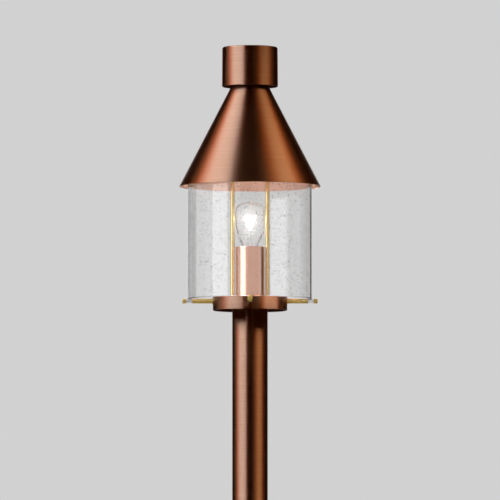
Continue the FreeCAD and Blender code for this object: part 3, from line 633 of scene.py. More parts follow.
@dataclass(frozen=True)
class Corner:
    """A corner of a turned outline, in millimetres.

    Attributes:
        out: Distance from the axis.
        up: Height along the axis.
        fillet: Radius of its rounding.
        face: Finish number of the stretch that starts here.
    """

    out: float
    up: float
    fillet: float = 0.0
    face: int = 0


def outline(
    corners: list[Corner], closed: bool
) -> tuple[np.ndarray, np.ndarray, np.ndarray, np.ndarray]:
    """Round the corners of an outline.

    A corner with a fillet becomes an arc that touches both of its sides. Its points are spokes from
    the arc's centre, turned evenly from one side's touching point to the other's.

    Args:
        corners: The corners, with the stuff on the left of the way along them.
        closed: Whether the last corner joins the first.

    Returns:
        The points, the facing at the start and at the end of each stretch, and its finish number.
    """
    place = np.array([(corner.out, corner.up) for corner in corners])
    points, facing, arcs, faces = [], [], [], []
    for index, corner in enumerate(corners):
        here = place[index]
        at_end = not closed and index in (0, len(corners) - 1)
        if at_end or corner.fillet <= 0:
            points.append(here[None])
            facing.append(np.zeros((1, 2)))
            arcs.append([-1])
        else:
            back = unit(place[index - 1] - here)
            ahead = unit(place[(index + 1) % len(corners)] - here)
            half = math.acos(np.clip(back @ ahead, -1, 1)) / 2
            reach = corner.fillet / math.tan(half)
            centre = here + unit(back + ahead) * corner.fillet / math.sin(half)
            start = here + back * reach - centre
            end = here + ahead * reach - centre
            sweep = math.pi - 2 * half
            share = np.linspace(0, 1, ARC_STEPS + 1)[:, None]
            spokes = np.sin((1 - share) * sweep) * start + np.sin(share * sweep) * end
            spokes = spokes / math.sin(sweep)
            outward = np.sign(start @ np.array([-back[1], back[0]]))
            points.append(centre + spokes)
            facing.append(outward * spokes / corner.fillet)
            arcs.append([index] * len(spokes))
        faces.append([corner.face] * len(arcs[-1]))
    points, facing = np.concatenate(points), np.concatenate(facing)
    arcs, faces = np.concatenate(arcs), np.concatenate(faces)
    strips = len(points) if closed else len(points) - 1
    along = (np.roll(points, -1, 0) - points)[:strips]
    straight = unit(np.stack([along[:, 1], -along[:, 0]], -1))
    same = ((arcs == np.roll(arcs, -1)) & (arcs >= 0))[:strips, None]
    before = np.where(same, facing[:strips], straight)
    after = np.where(same, np.roll(facing, -1, 0)[:strips], straight)
    return points, before, after, faces[:strips]


def spun(pairs: np.ndarray, steps: int) -> np.ndarray:
    """Turn pairs of distance and height round the axis: (d, h) gives (d cos t, d sin t, h).

    Args:
        pairs: The pairs, one to a row.
        steps: Steps round the axis.

    Returns:
        The points, as rows by steps by 3.
    """
    angle = np.linspace(0, FULL_TURN, steps, endpoint=False)
    ring = np.stack([np.cos(angle), np.sin(angle)], -1)
    height = np.broadcast_to(pairs[:, None, 1:], (len(pairs), steps, 1))
    return np.concatenate([pairs[:, None, :1] * ring, height], -1)


def turned(corners: list[Corner], steps: int, closed: bool = True) -> Surface:
    """Turn a rounded outline round the axis.

    Args:
        corners: The outline's corners, in millimetres.
        steps: Steps round the axis.
        closed: Whether the outline closes, or else ends on the axis.

    Returns:
        The skin, in metres.
    """
    points, before, after, faces = outline(corners, closed)
    rows = spun(points * MM, steps)
    return Surface.from_rows(rows, spun(before, steps), spun(after, steps), faces, closed)


def carried(path: np.ndarray, side: np.ndarray, thick: float, sides: int) -> Surface:
    """Carry a round section along a path and close its ends.

    The ring at each point is the point + thick (cos t a + sin t b), with a the side direction made
    square to the path and b square to both.

    Args:
        path: The points, in metres.
        side: A direction across the path at each point.
        thick: Radius of the section.
        sides: Steps round the section.

    Returns:
        The skin.
    """
    along = unit(np.gradient(path, axis=0))
    across = unit(side - np.sum(side * along, -1, keepdims=True) * along)
    third = np.cross(along, across)
    angle = np.linspace(0, FULL_TURN, sides, endpoint=False)[:, None]
    spokes = np.cos(angle) * across[:, None] + np.sin(angle) * third[:, None]
    ends = np.repeat(path[[0, -1], None], sides, axis=1)
    rows = np.concatenate([ends[:1], path[:, None] + thick * spokes, ends[1:]])
    caps = np.repeat((along[[0, -1]] * [[-1], [1]])[:, None], sides, axis=1)
    before = np.concatenate([caps[:1], spokes[:-1], caps[1:]])
    after = np.concatenate([caps[:1], spokes[1:], caps[1:]])
    return Surface.from_rows(rows, before, after)


def heights(node: str) -> Pair:
    """Give a node's lowest and highest level in millimetres."""
    low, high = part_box(node)
    return low.z / MM, high.z / MM


@dataclass
class Assembly:
    """A group of pieces that belong together, with sizes in millimetres.

    Attributes:
        finishes: The lamp's finishes.
    """

    finishes: Finishes

    def add(
        self, skin: Surface, name: str, rider: Rider, slot: Slot, node: str, *extras: Extra
    ) -> bpy.types.Object:
        """Make a skin a piece of the lamp.

        Args:
            skin: The piece's skin.
            name: Its name.
            rider: The body that it moves with.
            slot: The record's slot, whose finish has the face number 0.
            node: The CAD node that it stands for.
            extras: The finishes of the next face numbers.

        Returns:
            The piece.
        """
        mesh = skin.mesh(name)
        for kind in (slot, *extras):
            mesh.materials.append(self.finishes[kind])
        made = bpy.data.objects.new(name, mesh)
        bpy.context.scene.collection.objects.link(made)
        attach(made, rider.value)
        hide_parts(node)
        LOG.info("made %s, %d faces, on %s", name, len(skin.counts), rider.value)
        return made


@dataclass
class Hood(Assembly):
    """The spun copper hood over the glass, bright inside.

    Attributes:
        rim: Outside radius at the rim.
        neck: Outside radius at the top edge.
        skin: Level thickness of the sheet.
        edge: Rounding of the cut edges.
        steps: Steps round the axis.
    """

    rim: float = 120.0
    neck: float = 25.77
    skin: float = 1.69
    edge: float = 0.6
    steps: int = 160

    def build(self) -> None:
        """Turn the cone as one closed sheet, brushed outside and satin inside."""
        low, high = heights("hood_cone")
        corners = [
            Corner(self.rim, low, self.edge),
            Corner(self.neck, high, self.edge),
            Corner(self.neck - self.skin, high, self.edge, 1),
            Corner(self.rim - self.skin, low, self.edge, 1),
        ]
        skin = turned(corners, self.steps)
        self.add(skin, "spun_hood", Rider.HOOD, Slot.BRUSHED_COPPER, "hood_cone", Extra.INSIDE_COPPER)


@dataclass
class Cap(Assembly):
    """The round copper cap that screws down on the hood's stud.

    Attributes:
        foot: Outside radius at its lower edge.
        head: Outside radius at its top.
        wall: Thickness of its wall.
        shoulder: Rounding of its top edge.
        corner: Rounding inside its top.
        edge: Rounding of its lower edge.
        steps: Steps round the axis.
    """

    foot: float = 47.5
    head: float = 47.0
    wall: float = 1.5
    shoulder: float = 2.6
    corner: float = 1.2
    edge: float = 0.5
    steps: int = 128

    def build(self) -> None:
        """Turn the cap from the axis of its ceiling, down its inside and up its outside."""
        low, high = heights("cap")
        corners = [
            Corner(0.0, high - self.wall),
            Corner(self.head - self.wall, high - self.wall, self.corner),
            Corner(self.foot - self.wall, low, self.edge),
            Corner(self.foot, low, self.edge),
            Corner(self.head, high, self.shoulder),
            Corner(0.0, high),
        ]
        skin = turned(corners, self.steps, closed=False)
        self.add(skin, "spun_cap", Rider.CAP, Slot.BRUSHED_COPPER, "cap")


@dataclass
class SeededGlass(Assembly):
    """The glass cylinder, with small bubbles through its wall and ground edges.

    Attributes:
        radius: Outside radius.
        wall: Thickness of the wall.
        edge: Rounding of the ground edges.
        steps: Steps round the axis.
        seeds: Number of bubbles.
        seed_sizes: Smallest and largest half width of a bubble.
        seed_stretch: Least and most height of a bubble for its width.
        seed_grid: Rows and steps of a bubble's points.
        margin: Least glass between a bubble and the wall's faces.
        end_margin: Least glass between a bubble and the ground edges.
        draw: Start of the random draws.
    """

    radius: float = 105.0
    wall: float = 5.0
    edge: float = 1.2
    steps: int = 160
    seeds: int = 1700
    seed_sizes: Pair = (0.46, 0.82)
    seed_stretch: Pair = (1.0, 1.4)
    seed_grid: tuple[int, int] = (5, 7)
    margin: float = 0.5
    end_margin: float = 2.5
    draw: int = 7

    def bubbles(self, low: float, high: float, face: int) -> Surface:
        """Scatter bubbles through the wall.

        A bubble is a ball (cos a cos t, cos a sin t, sin a) drawn out along the height. Its faces look
        into the hollow, because the glass is outside it.

        Args:
            low: Level of the lower edge.
            high: Level of the upper edge.
            face: The bubbles' finish number.

        Returns:
            The bubbles' skins as one.
        """
        rng = np.random.default_rng(self.draw)
        small, large = self.seed_sizes
        half = small + (large - small) * rng.random(self.seeds) ** 2
        tall = half * rng.uniform(*self.seed_stretch, self.seeds)
        turn = rng.uniform(0, FULL_TURN, self.seeds)
        inner = self.radius - self.wall + self.margin + half
        outer = self.radius - self.margin - half
        out = inner + (outer - inner) * rng.random(self.seeds)
        foot, top = low + self.end_margin + tall, high - self.end_margin - tall
        up = foot + (top - foot) * rng.random(self.seeds)
        rows, steps = self.seed_grid
        rise = np.linspace(math.pi / 2, -math.pi / 2, rows)
        ball = spun(np.stack([np.cos(rise).round(12), np.sin(rise)], -1), steps)
        one = Surface.from_rows(ball, -ball[:-1], -ball[1:], np.full(rows - 1, face))
        axes = np.zeros((self.seeds, 3, 3))
        axes[:, 0, 0] = axes[:, 1, 1] = np.cos(turn)
        axes[:, 0, 1] = np.sin(turn)
        axes[:, 1, 0] = -np.sin(turn)
        axes[:, 2, 2] = 1.0
        size = np.stack([half, half, tall], -1)[:, :, None]
        centre = np.stack([out * np.cos(turn), out * np.sin(turn), up], -1)[:, None]
        points = (one.points @ (axes * size) + centre) * MM
        normals = unit(one.normals @ (axes / size))
        shift = np.arange(self.seeds)[:, None] * len(one.points)
        return Surface(
            points.reshape(-1, 3),
            (one.corners + shift).ravel(),
            np.tile(one.counts, self.seeds),
            normals.reshape(-1, 3),
            np.tile(one.faces, self.seeds),
        )

    def build(self) -> None:
        """Turn the wall, with ground edges, and put the bubbles in it."""
        low, high = heights("glass_cylinder")
        inside = self.radius - self.wall
        clear, ground, seed = range(3)
        corners = [
            Corner(inside, low, self.edge, ground),
            Corner(self.radius, low, self.edge, clear),
            Corner(self.radius, high, self.edge, ground),
            Corner(inside, high, self.edge, clear),
        ]
        skin = Surface.joined([turned(corners, self.steps), self.bubbles(low, high, seed)])
        extras = (Extra.GROUND_GLASS, Extra.SEED_GLASS)
        glass = self.add(
            skin, "seeded_glass", Rider.GLASS, Slot.SEEDED_GLASS, "glass_cylinder", *extras
        )
        glass.visible_shadow = False


@dataclass
class GlassRests(Assembly):
    """The silicone sleeves on the four pins' necks, which the glass stands on.

    Attributes:
        bore: Inside radius of a sleeve.
        radius: Outside radius at its middle.
        hollow: How much smaller its ends are.
        belly: Radius of the curve along it.
        edge: Rounding of its ends.
        steps: Steps round the axis.
    """

    bore: float = 2.1
    radius: float = 3.1
    hollow: float = 0.1
    belly: float = 60.0
    edge: float = 0.4
    steps: int = 28

    def build(self) -> None:
        """Turn one sleeve along each pin, out from the post."""
        sides = {"right": (1, 0), "rear": (0, 1), "left": (-1, 0), "front": (0, -1)}
        for side, (x, y) in sides.items():
            node = f"glass_cushion_{side}"
            low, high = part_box(node)
            ends = sorted(abs(np.array([low.x, high.x] if x else [low.y, high.y])) / MM)
            end_radius = self.radius - self.hollow
            corners = [
                Corner(self.bore, ends[0], self.edge),
                Corner(end_radius, ends[0], self.edge),
                Corner(self.radius, sum(ends) / 2, self.belly),
                Corner(end_radius, ends[1], self.edge),
                Corner(self.bore, ends[1], self.edge),
            ]
            axes = np.array([[0.0, 0.0, 1.0], [y, -x, 0.0], [x, y, 0.0]])
            origin = np.array([0.0, 0.0, (low.z + high.z) / 2])
            skin = turned(corners, self.steps).laid(axes, origin)
            self.add(skin, f"silicone_sleeve_{side}", Rider.POST, Slot.CLEAR_SILICONE, node)


@dataclass
class Foot(Assembly):
    """The rubber grommet in the base plate.

    Attributes:
        bore: Radius of the cable's hole.
        body: Radius in the plate.
        flange: Radius of the flange on the plate.
        plate: Level of the plate's top.
        lip: Rounding of the upper edges.
        mouth: Rounding of the hole's lower edge.
        toe: Rounding of the body's lower edge.
        seat: Rounding of the flange's lower edge.
        steps: Steps round the axis.
    """

    bore: float = 6.0
    body: float = 9.9
    flange: float = 14.0
    plate: float = 10.0
    lip: float = 1.4
    mouth: float = 1.2
    toe: float = 1.0
    seat: float = 0.6
    steps: int = 48

    def build(self) -> None:
        """Turn the grommet with soft lips."""
        low, high = heights("cable_grommet")
        corners = [
            Corner(self.bore, low, self.mouth),
            Corner(self.body, low, self.toe),
            Corner(self.body, self.plate),
            Corner(self.flange, self.plate, self.seat),
            Corner(self.flange, high, self.lip),
            Corner(self.bore, high, self.lip),
        ]
        skin = turned(corners, self.steps)
        self.add(skin, "grommet_rubber", Rider.POST, Slot.BLACK_RUBBER, "cable_grommet")


@dataclass
class Lamp(Assembly):
    """The clear lamp and the polished sleeve round its holder.

    Attributes:
        steps: Steps round the axis.
        sleeve: Outside radius of the sleeve.
        sleeve_wall: Thickness of the sleeve.
        sleeve_edges: Rounding of the sleeve's lower and upper edges.
        radius: Outside radius of the bulb.
        wall: Thickness of its glass.
        crown: Radius of the flat top.
        shoulder: Radius of the turn from top to side.
        side: Height of the straight side.
        flank: Radius of the long curve to the neck.
        neck: Radius of the neck.
        samples: Points on the neck, flank, shoulder and crown.
        line_points: Points on the whole line.
        ease: Points each side that ease the join of neck and flank.
        ease_ends: Heights over which the easing fades, above and below.
        thread: Outside radius of the screw.
        thread_pitch: Rise of the screw in one turn.
        thread_depth: Depth of the screw's groove.
        thread_grid: Rows and steps of the screw's points.
        thread_run: Height over which the thread runs out.
        base_wall: Thickness of the screw's metal.
        span: Half width of the filament.
        bulge: Depth of the filament's half circle for its width.
        festoons: Hanging loops of the filament.
        hang: Height of the loops' ends above the CAD filament's foot.
        droop: Height of a loop.
        coil: Radius of the filament's coil.
        wire: Radius of the filament's wire.
        turns: Turns in the coil.
        turn_points: Points on each turn.
        tilt: Lean of the direction that each turn starts from.
        wire_sides: Steps round the wire.
        power: Power of the lamp's light in watts.
        glow: Colour of the lamp's light.
        glow_size: Radius that the light comes from.
    """

    steps: int = 96
    sleeve: float = 24.65
    sleeve_wall: float = 1.0
    sleeve_edges: Pair = (0.3, 0.45)
    radius: float = 24.7
    wall: float = 0.8
    crown: float = 36.0
    shoulder: float = 13.0
    side: float = 14.0
    flank: float = 90.0
    neck: float = 13.0
    samples: tuple[int, int, int, int] = (20, 90, 40, 60)
    line_points: int = 130
    ease: int = 6
    ease_ends: Pair = (12.0, 6.0)
    thread: float = 13.1
    thread_pitch: float = 3.63
    thread_depth: float = 0.9
    thread_grid: tuple[int, int] = (64, 72)
    thread_run: float = 2.0
    base_wall: float = 0.5
    span: float = 8.1
    bulge: float = 0.55
    festoons: int = 4
    hang: float = 1.2
    droop: float = 8.0
    coil: float = 0.42
    wire: float = 0.12
    turns: int = 150
    turn_points: int = 10
    tilt: float = 0.2
    wire_sides: int = 5
    power: float = 0.27
    glow: Colour = (1.0, 0.96, 0.91)
    glow_size: float = 5.0

    def build_sleeve(self) -> None:
        """Turn the sleeve with rounded edges."""
        low, high = heights("lamp_sleeve")
        inside = self.sleeve - self.sleeve_wall
        foot, top = self.sleeve_edges
        corners = [
            Corner(inside, low, foot),
            Corner(self.sleeve, low, foot),
            Corner(self.sleeve, high, top),
            Corner(inside, high, top),
        ]
        skin = turned(corners, self.steps)
        self.add(skin, "bright_sleeve", Rider.POST, Slot.POLISHED_COPPER, "lamp_sleeve")

    def bulb_line(self, low: float, high: float) -> np.ndarray:
        """Give the bulb's outside line from the neck's foot to the top.

        The line is a straight neck, a long arc, a straight side, a shoulder arc and a crown arc, with
        the join of neck and arc eased by a moving average.

        Args:
            low: Level of the neck's foot.
            high: Level of the top.

        Returns:
            Pairs of distance and height in millimetres, at even steps along the line.
        """
        necks, flanks, shoulders, crowns = self.samples
        centre = high - self.crown
        inward = self.radius - self.shoulder
        level = centre + math.sqrt((self.crown - self.shoulder) ** 2 - inward**2)
        lean = math.atan2(inward, level - centre)
        turn = np.linspace(math.pi / 2, lean, shoulders)
        top = np.linspace(lean, 0, crowns)[1:]
        drop = math.sqrt(self.flank**2 - (self.flank - (self.radius - self.neck)) ** 2)
        fall = np.linspace(drop, 0, flanks)
        foot = level - self.side
        rise = np.linspace(low, foot - drop, necks, endpoint=False)
        parts = [
            (np.full(necks, self.neck), rise),
            (self.radius - self.flank + np.sqrt(self.flank**2 - fall**2), foot - fall),
            (inward + self.shoulder * np.sin(turn), level + self.shoulder * np.cos(turn)),
            (self.crown * np.sin(top), centre + self.crown * np.cos(top)),
        ]
        line = np.concatenate([np.stack(part, -1) for part in parts])
        run = np.concatenate([[0], np.cumsum(np.linalg.norm(np.diff(line, axis=0), axis=1))])
        even = np.linspace(0, run[-1], self.line_points)
        line = np.stack([np.interp(even, run, row) for row in line.T], -1)
        window = 2 * self.ease + 1
        padded = np.pad(line, ((self.ease, self.ease), (0, 0)), mode="edge")
        mean = np.full(window, 1 / window)
        eased = np.stack([np.convolve(row, mean, "valid") for row in padded.T], -1)
        above, below = self.ease_ends
        share = np.clip((foot - line[:, 1:]) / above, 0, 1) * np.clip((line[:, 1:] - low) / below, 0, 1)
        return line + (eased - line) * share

    def build_envelope(self) -> None:
        """Turn the bulb's glass: the outside line up, and the line set in by the wall down again."""
        low, high = heights("bulb_envelope")
        line = self.bulb_line(low, high)
        along = unit(np.gradient(line, axis=0))
        facing = np.stack([along[:, 1], -along[:, 0]], -1)
        facing[-1] = (0, 1)
        inner = line - facing * self.wall
        line[-1, 0] = inner[-1, 0] = 0.0
        skins = []
        for pairs, normals in ((line, facing), (inner[::-1], -facing[::-1])):
            rows, normals = spun(pairs * MM, self.steps), spun(normals, self.steps)
            skins.append(Surface.from_rows(rows, normals[:-1], normals[1:]))
        rim = spun(np.array([inner[0], line[0]]) * MM, self.steps)
        down = spun(np.array([[0.0, -1.0]]), self.steps)
        skins.append(Surface.from_rows(rim, down, down))
        skin = Surface.joined(skins)
        glass = self.add(skin, "bulb_glass_clear", Rider.BULB, Slot.BULB_GLASS, "bulb_envelope")
        glass.visible_shadow = False

    def build_screw(self) -> None:
        """Roll the screw base.

        The distance from the axis is the middle of the groove + half its depth times
        cos(height / pitch - turn), so the crest climbs one pitch in each turn.
        """
        low, high = heights("bulb_screw_base")
        count, steps = self.thread_grid
        up = np.linspace(low, high, count)[:, None]
        angle = np.linspace(0, FULL_TURN, steps, endpoint=False)
        wave = np.cos(FULL_TURN * up / self.thread_pitch - angle)
        ends = np.minimum(up - low, high - up)
        half = self.thread_depth / 2
        out = self.thread - half + half * wave * np.clip(ends / self.thread_run, 0, 1)
        level = np.broadcast_to(up, out.shape)
        rows = np.stack([out * np.cos(angle), out * np.sin(angle), level], -1)
        round_way = np.roll(rows, -1, 1) - np.roll(rows, 1, 1)
        facing = unit(np.cross(round_way, np.gradient(rows, axis=0)))
        inside = self.thread - self.thread_depth - self.base_wall
        rings = spun(np.array([[inside, low], [inside, high]]), steps)
        flats = spun(np.array([[0.0, -1.0], [0.0, 1.0], [-1.0, 0.0]]), steps)
        rows = np.concatenate([rings[:1], rows, rings[1:]]) * MM
        before = np.concatenate([flats[:1], facing[:-1], flats[1:]])
        after = np.concatenate([flats[:1], facing[1:], flats[1:]])
        skin = Surface.from_rows(rows, before, after, closed=True)
        self.add(skin, "rolled_screw_base", Rider.BULB, Slot.BULB_BASE_METAL, "bulb_screw_base")

    def build_filament(self) -> None:
        """Hang the coiled filament in loops round half a circle.

        The loops' line is (-cos, -sin) of a half turn times the half span, with a height that falls
        and rises as a cosine. The wire winds round that line as a helix.
        """
        low, _ = heights("bulb_filament")
        share = np.linspace(0, 1, self.turns * self.turn_points)
        bow = math.pi * share
        swing = FULL_TURN * self.festoons * share
        height = low + self.hang - self.droop * (1 - np.cos(swing)) / 2
        line = [-self.span * np.cos(bow), -self.bulge * self.span * np.sin(bow), height]
        line = np.stack(line, -1)
        along = unit(np.gradient(line, axis=0))
        outward = np.stack([np.cos(bow), np.sin(bow), np.full_like(bow, self.tilt)], -1)
        across = unit(np.cross(along, outward))
        third = np.cross(along, across)
        wind = (FULL_TURN * self.turns * share)[:, None]
        spoke = np.cos(wind) * across + np.sin(wind) * third
        path = (line + (self.coil - self.wire) * spoke) * MM
        skin = carried(path, spoke, self.wire * MM, self.wire_sides)
        self.add(skin, "coiled_filament", Rider.BULB, Slot.TUNGSTEN, "bulb_filament")

    def light_up(self) -> None:
        """Put a light where the filament hangs, so that the lit lamp lights what is round it."""
        low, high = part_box("bulb_filament")
        light = bpy.data.lights.new("lamp_light", "POINT")
        light.energy = self.power
        light.color = self.glow
        light.shadow_soft_size = self.glow_size * MM
        made = bpy.data.objects.new("lamp_light", light)
        made.location = (low + high) / 2
        made.location.z = low.z + (self.hang - self.droop / 2) * MM
        made.visible_camera = False
        bpy.context.scene.collection.objects.link(made)

    def build(self) -> None:
        """Make the sleeve, the bulb's glass, its screw and its filament, and light it."""
        self.build_sleeve()
        self.build_envelope()
        self.build_screw()
        self.build_filament()
        self.light_up()


class Seen(Enum):
    """What a studio card shows up in."""

    GLOSS = "all that shines, and what glass lets through"
    MATT = "all that is dull"
    FACES = "outer faces that mirror"
    NEAR = "outer faces that mirror, also past the glass"
    DEEP = "outer faces that mirror, and what stands behind the glass"
    WHOLLY = "all that mirrors"
    INNER = "what stands behind the glass"


@dataclass(frozen=True)
class Card:
    """A curved studio card round the lantern: a lit softbox, or a black flag.

    Attributes:
        name: The card's name.
        turn: First and last angle round the post, in degrees right of the front.
        rise: First and last angle above the level, in degrees.
        glow: Brightness, where 1 is white and 0 is black.
        fade: Angle over which the first and the last side edge fade, in degrees.
        tint: Colour of its light.
        reach: Distance from the point that it stands round, in metres.
        seen: What it shows up in.
        level: Height of that point in metres.
        steps: Steps up and across its grid.
        upright: Largest angle from the front at which a side edge runs straight up.
    """

    name: str
    turn: Pair
    rise: Pair
    glow: float
    fade: Pair
    tint: Colour = WHITE
    reach: float = 9.0
    seen: Seen = Seen.GLOSS
    level: float = 0.85
    steps: tuple[int, int] = (45, 73)
    upright: float = 45.0

    def side(self, turn: float, rise: np.ndarray) -> np.ndarray:
        """Give the angle of a side edge at each rise.

        An edge near the front keeps its distance to the side: sin angle is sin turn / cos rise. Any
        other edge keeps its angle.

        Args:
            turn: The edge's angle at the level.
            rise: The angles above the level.

        Returns:
            The edge's angles in degrees.
        """
        if abs(turn) > self.upright:
            return np.full_like(rise, turn)
        level = np.maximum(np.cos(np.radians(rise)), POLE)
        return np.degrees(np.arcsin(np.clip(math.sin(math.radians(turn)) / level, -1, 1)))

    def shape(self) -> tuple[np.ndarray, np.ndarray]:
        """Lay out the card on a ball of radius 1: (sin t cos e, -cos t cos e, sin e).

        Returns:
            The points, and the brightness at each.
        """
        rise = np.linspace(*self.rise, self.steps[0])[:, None]
        first, last = (self.side(turn, rise) for turn in self.turn)
        last = np.maximum(first, last)
        turn = first + (last - first) * np.linspace(0, 1, self.steps[1])
        share = np.minimum((turn - first) / self.fade[0], (last - turn) / self.fade[1])
        share = np.clip(share, 0, 1)
        glow = share * share * (3 - 2 * share) * self.glow
        way, up = np.radians(turn), np.radians(rise)
        height = np.broadcast_to(np.sin(up), way.shape)
        return np.stack([np.sin(way) * np.cos(up), -np.cos(way) * np.cos(up), height], -1), glow


@dataclass(frozen=True)
class Flag(Card):
    """A black flag: faintly warm, with sharp side edges."""

    glow: float = 0.025
    fade: Pair = SHARP
    tint: Colour = WARM
    reach: float = 8.9
    seen: Seen = Seen.FACES


class Studio:
    """The camera, the pale floor, the even backdrop colour, and the cards that the metal mirrors."""

    backdrop = 0.638
    eye = Vector((0.0, -11.86, 0.0126))
    aim = Vector((0.0, 0.0, 0.7563))
    lens = 506.4
    sensor = 36.0
    sight = 200.0
    floor_level = -0.0003
    floor_reach = 9.0
    floor_fade = 5.0
    floor_grid = (25, 97)
    floor_clouds = 3.0
    floor_spread = 1.5
    floor_dark: Colour = (0.65, 0.65, 0.65)
    floor_light: Colour = (0.67, 0.67, 0.67)
    card_foot = 0.004
    card_bend = 2.0
    no_glass, one_wall, inside_glass = 0.5, 2.5, 3.5
    down, up = -89.9, 90.0
    left, right = (-138.0, -18.5), (16.0, 112.0)
    rear_left, rear_right = (196.0, 242.0), (112.0, 164.0)
    cards = (
        Card("key_left", (-122.0, -18.5), (14.0, 38.0), 6.4, (52.0, 10.0), (0.84, 1.07, 1.64)),
        Card("strip_left", (-76.0, -42.0), (1.6, 5.0), 3.4, (0.5, 0.5)),
        Card("strip_left_wing", (-160.0, -76.0), (1.6, 5.0), 1.8, (30.0, 0.5), seen=Seen.FACES),
        Card("fill_right", (16.0, 119.0), (18.0, 44.0), 3.1, (44.0, 42.0), (1.0, 0.77, 0.57)),
        Card("soft_top", (-170.0, 120.0), (35.0, 88.0), 1.7, SHARP, seen=Seen.MATT),
        Card("strip_rear", (164.0, 196.0), (0.0, 75.0), 0.9, (4.0, 4.0), WHITE, 2.5, Seen.FACES),
        Flag("flag_front", (-18.5, 16.0), (down, 38.0), seen=Seen.NEAR),
        Flag("flag_front_over", (-31.0, 16.0), (38.0, up), seen=Seen.NEAR),
        Flag("flag_low_left", left, (down, 1.4)),
        Flag("flag_mid_left", left, (5.2, 13.8)),
        Flag("flag_low_right", right, (down, 17.0)),
        Card("strip_inner", (-90.0, -27.0), (-8.0, 14.0), 1.8, (10.0, 8.0), WHITE, 9.2, Seen.INNER),
        Flag("flag_inner", (92.0, 112.0), (-40.0, 17.0), fade=(18.0, 0.01), reach=8.8, seen=Seen.INNER),
        Flag("flag_cap", (10.0, 125.0), (45.6, 75.0), reach=0.7),
        Flag("flag_cone", (-28.0, -15.0), (18.0, 32.0), reach=0.55),
        # flag_post_left and flag_post_right are dark sheets just under the collar, inside the lantern,
        # seen only in mirroring faces: painted shade on the post below the collar.
        Flag("flag_post_left", left, (-5.2, 9.0), reach=0.05, level=0.645),
        Flag("flag_post_right", right, (-16.0, 9.0), reach=0.05, level=0.645),
        # strip_collar is a lit strip inside the glass, just outside the collar, seen only in mirroring
        # faces: a painted highlight on the collar's right side.
        Card(
            "strip_collar", (13.0, 68.0), (-9.2, 12.0), 1.15, (18.0, 16.0), (1.0, 0.88, 0.92),
            0.0755, Seen.FACES, 0.664,
        ),
        Flag("flag_right", (112.0, 156.0), (down, up), seen=Seen.DEEP),
        Flag("flag_right_far", (156.0, 164.0), (down, up), seen=Seen.WHOLLY),
        Flag("flag_left", rear_left, (down, up), seen=Seen.DEEP),
        Flag("flag_right_under", rear_right, (down, 0.6), reach=8.8, seen=Seen.WHOLLY),
        Flag("flag_right_over", rear_right, (7.0, up), reach=8.8, seen=Seen.WHOLLY),
        Flag("flag_left_under", rear_left, (down, 0.6), reach=8.8, seen=Seen.WHOLLY),
        Flag("flag_left_over", rear_left, (7.0, up), reach=8.8, seen=Seen.WHOLLY),
    )

    def place_camera(self) -> None:
        """Stand the camera where the photograph was taken from: low, far off and looking slightly up."""
        data = bpy.data.cameras.new("camera")
        data.lens = self.lens
        data.sensor_width = self.sensor
        data.clip_end = self.sight
        camera = bpy.data.objects.new("camera", data)
        bpy.context.scene.collection.objects.link(camera)
        camera.location = self.eye
        camera.rotation_euler = (self.aim - self.eye).to_track_quat("-Z", "Y").to_euler()
        bpy.context.scene.camera = camera

    def light_world(self) -> None:
        """Give the world one even pale grey."""
        world = bpy.data.worlds.new("pale_backdrop")
        world.use_nodes = True
        background = world.node_tree.nodes["Background"]
        background.inputs["Color"].default_value = (self.backdrop, self.backdrop, self.backdrop, 1.0)
        background.inputs["Strength"].default_value = 1.0
        bpy.context.scene.world = world

    def stage_mesh(
        self, name: str, grid: np.ndarray, share: np.ndarray, material: Material
    ) -> bpy.types.Object:
        """Make a grid of points a stage object.

        Args:
            name: The object's name.
            grid: The points, as rows by steps by 3.
            share: A number at each point, for its material.
            material: Its material.

        Returns:
            The object.
        """
        index = np.arange(share.size).reshape(share.shape)
        quads = np.stack([index[:-1, :-1], index[:-1, 1:], index[1:, 1:], index[1:, :-1]], -1)
        mesh = bpy.data.meshes.new(name)
        mesh.from_pydata(grid.reshape(-1, 3).tolist(), [], quads.reshape(-1, 4).tolist())
        attribute = mesh.attributes.new("share", "FLOAT", "POINT")
        attribute.data.foreach_set("value", share.astype(np.float32).ravel())
        mesh.materials.append(material)
        made = bpy.data.objects.new(name, mesh)
        bpy.context.scene.collection.objects.link(made)
        return made

    def shown(self, sheet: NodeSheet, seen: Seen) -> Socket:
        """Tell the paths of light on which a card shows up from the others.

        A path was mirrored if its glossy depth is at least 1. Its transmission depth counts the faces
        of glass that it went through: 2 past one wall, and 4 once it came from inside the glass.

        Args:
            sheet: The card's nodes.
            seen: What the card shows up in.

        Returns:
            1 on the card's own paths, and 0 on others.
        """
        path = sheet.add("LightPath").outputs
        mirrored = sheet.math("GREATER_THAN", path["Glossy Depth"], 0.5)
        depth = path["Transmission Depth"]
        if seen is Seen.WHOLLY:
            return mirrored
        if seen is Seen.DEEP:
            middle = (self.no_glass + self.inside_glass) / 2
            part_way = sheet.math("COMPARE", depth, middle, self.inside_glass - middle)
            clear = sheet.math("SUBTRACT", 1.0, part_way)
        elif seen is Seen.INNER:
            clear = sheet.math("GREATER_THAN", depth, self.inside_glass)
        else:
            limit = self.one_wall if seen is Seen.NEAR else self.no_glass
            clear = sheet.math("LESS_THAN", depth, limit)
        return sheet.math("MULTIPLY", mirrored, clear)

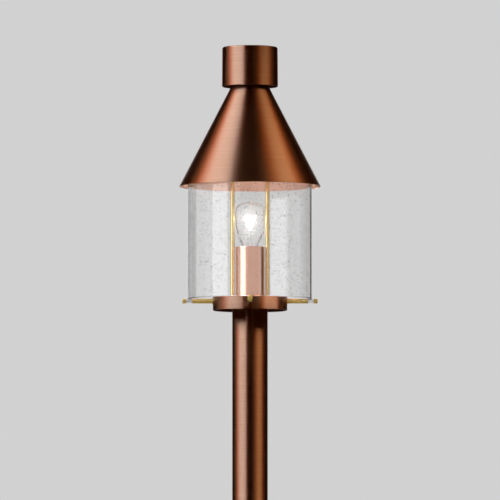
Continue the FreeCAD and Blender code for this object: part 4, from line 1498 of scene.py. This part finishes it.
    def hang_card(self, card: Card) -> None:
        """Hang one card round the lantern, and lay what would go below the floor on it.

        Args:
            card: The card.
        """
        ball, glow = card.shape()
        grid = card.reach * ball + np.array([0.0, 0.0, card.level])
        grid[..., 2] = np.maximum(grid[..., 2], self.card_foot)
        sheet = NodeSheet(card.name)
        strength = sheet.attribute()
        middle = sheet.math("DIVIDE", strength, card.glow)
        tint = sheet.tint(sheet.math("POWER", middle, self.card_bend), WARM, card.tint, (0.0, 1.0))
        light = sheet.add("Emission", {"Color": tint, "Strength": strength}).outputs[0]
        if card.seen not in (Seen.GLOSS, Seen.MATT):
            share = sheet.math("MULTIPLY", middle, self.shown(sheet, card.seen))
            clear = sheet.add("BsdfTransparent").outputs[0]
            light = sheet.add("MixShader", {0: share, 1: clear, 2: light}).outputs[0]
        material = sheet.close(light)
        if card.seen in (Seen.GLOSS, Seen.INNER):
            material.cycles.emission_sampling = "NONE"
        made = self.stage_mesh(card.name, grid, glow, material)
        made.visible_camera = False
        made.visible_shadow = False
        made.visible_diffuse = card.seen is not Seen.GLOSS
        made.visible_glossy = made.visible_transmission = card.seen is not Seen.MATT

    def lay_floor(self) -> None:
        """Lay the floor: rings round the post, which thin out into the backdrop's colour far away."""
        rings, steps = self.floor_grid
        angle = np.linspace(0, FULL_TURN, steps)
        out = np.linspace(0.0, 1.0, rings)[:, None] ** self.floor_spread * self.floor_reach
        level = np.full(self.floor_grid, self.floor_level)
        grid = np.stack([out * np.cos(angle), out * np.sin(angle), level], -1)
        fade = np.clip((self.floor_reach - out) / self.floor_fade, 0, 1)
        sheet = NodeSheet("pale_floor")
        cloud = sheet.noise(sheet.place(), self.floor_clouds)
        colour = sheet.tint(cloud, self.floor_dark, self.floor_light)
        matt = sheet.add("BsdfDiffuse", {"Color": colour}).outputs[0]
        clear = sheet.add("BsdfTransparent").outputs[0]
        mix = sheet.add("MixShader", {0: sheet.attribute(), 1: clear, 2: matt}).outputs[0]
        self.stage_mesh("floor", grid, np.broadcast_to(fade, self.floor_grid), sheet.close(mix))

    def build(self) -> None:
        """Set up the whole studio."""
        bpy.context.scene.view_settings.view_transform = "Standard"
        self.place_camera()
        self.light_world()
        self.lay_floor()
        for card in self.cards:
            self.hang_card(card)


def main() -> None:
    """Build the studio, dress the nodes, then build the new pieces from the foot up."""
    logging.basicConfig(level=logging.INFO, format="%(name)s: %(message)s")
    Studio().build()
    finishes = Finishes()
    finishes.dress_nodes()
    for assembly in (Foot, GlassRests, SeededGlass, Hood, Cap, Lamp):
        assembly(finishes).build()


if __name__ == "__main__":
    main()
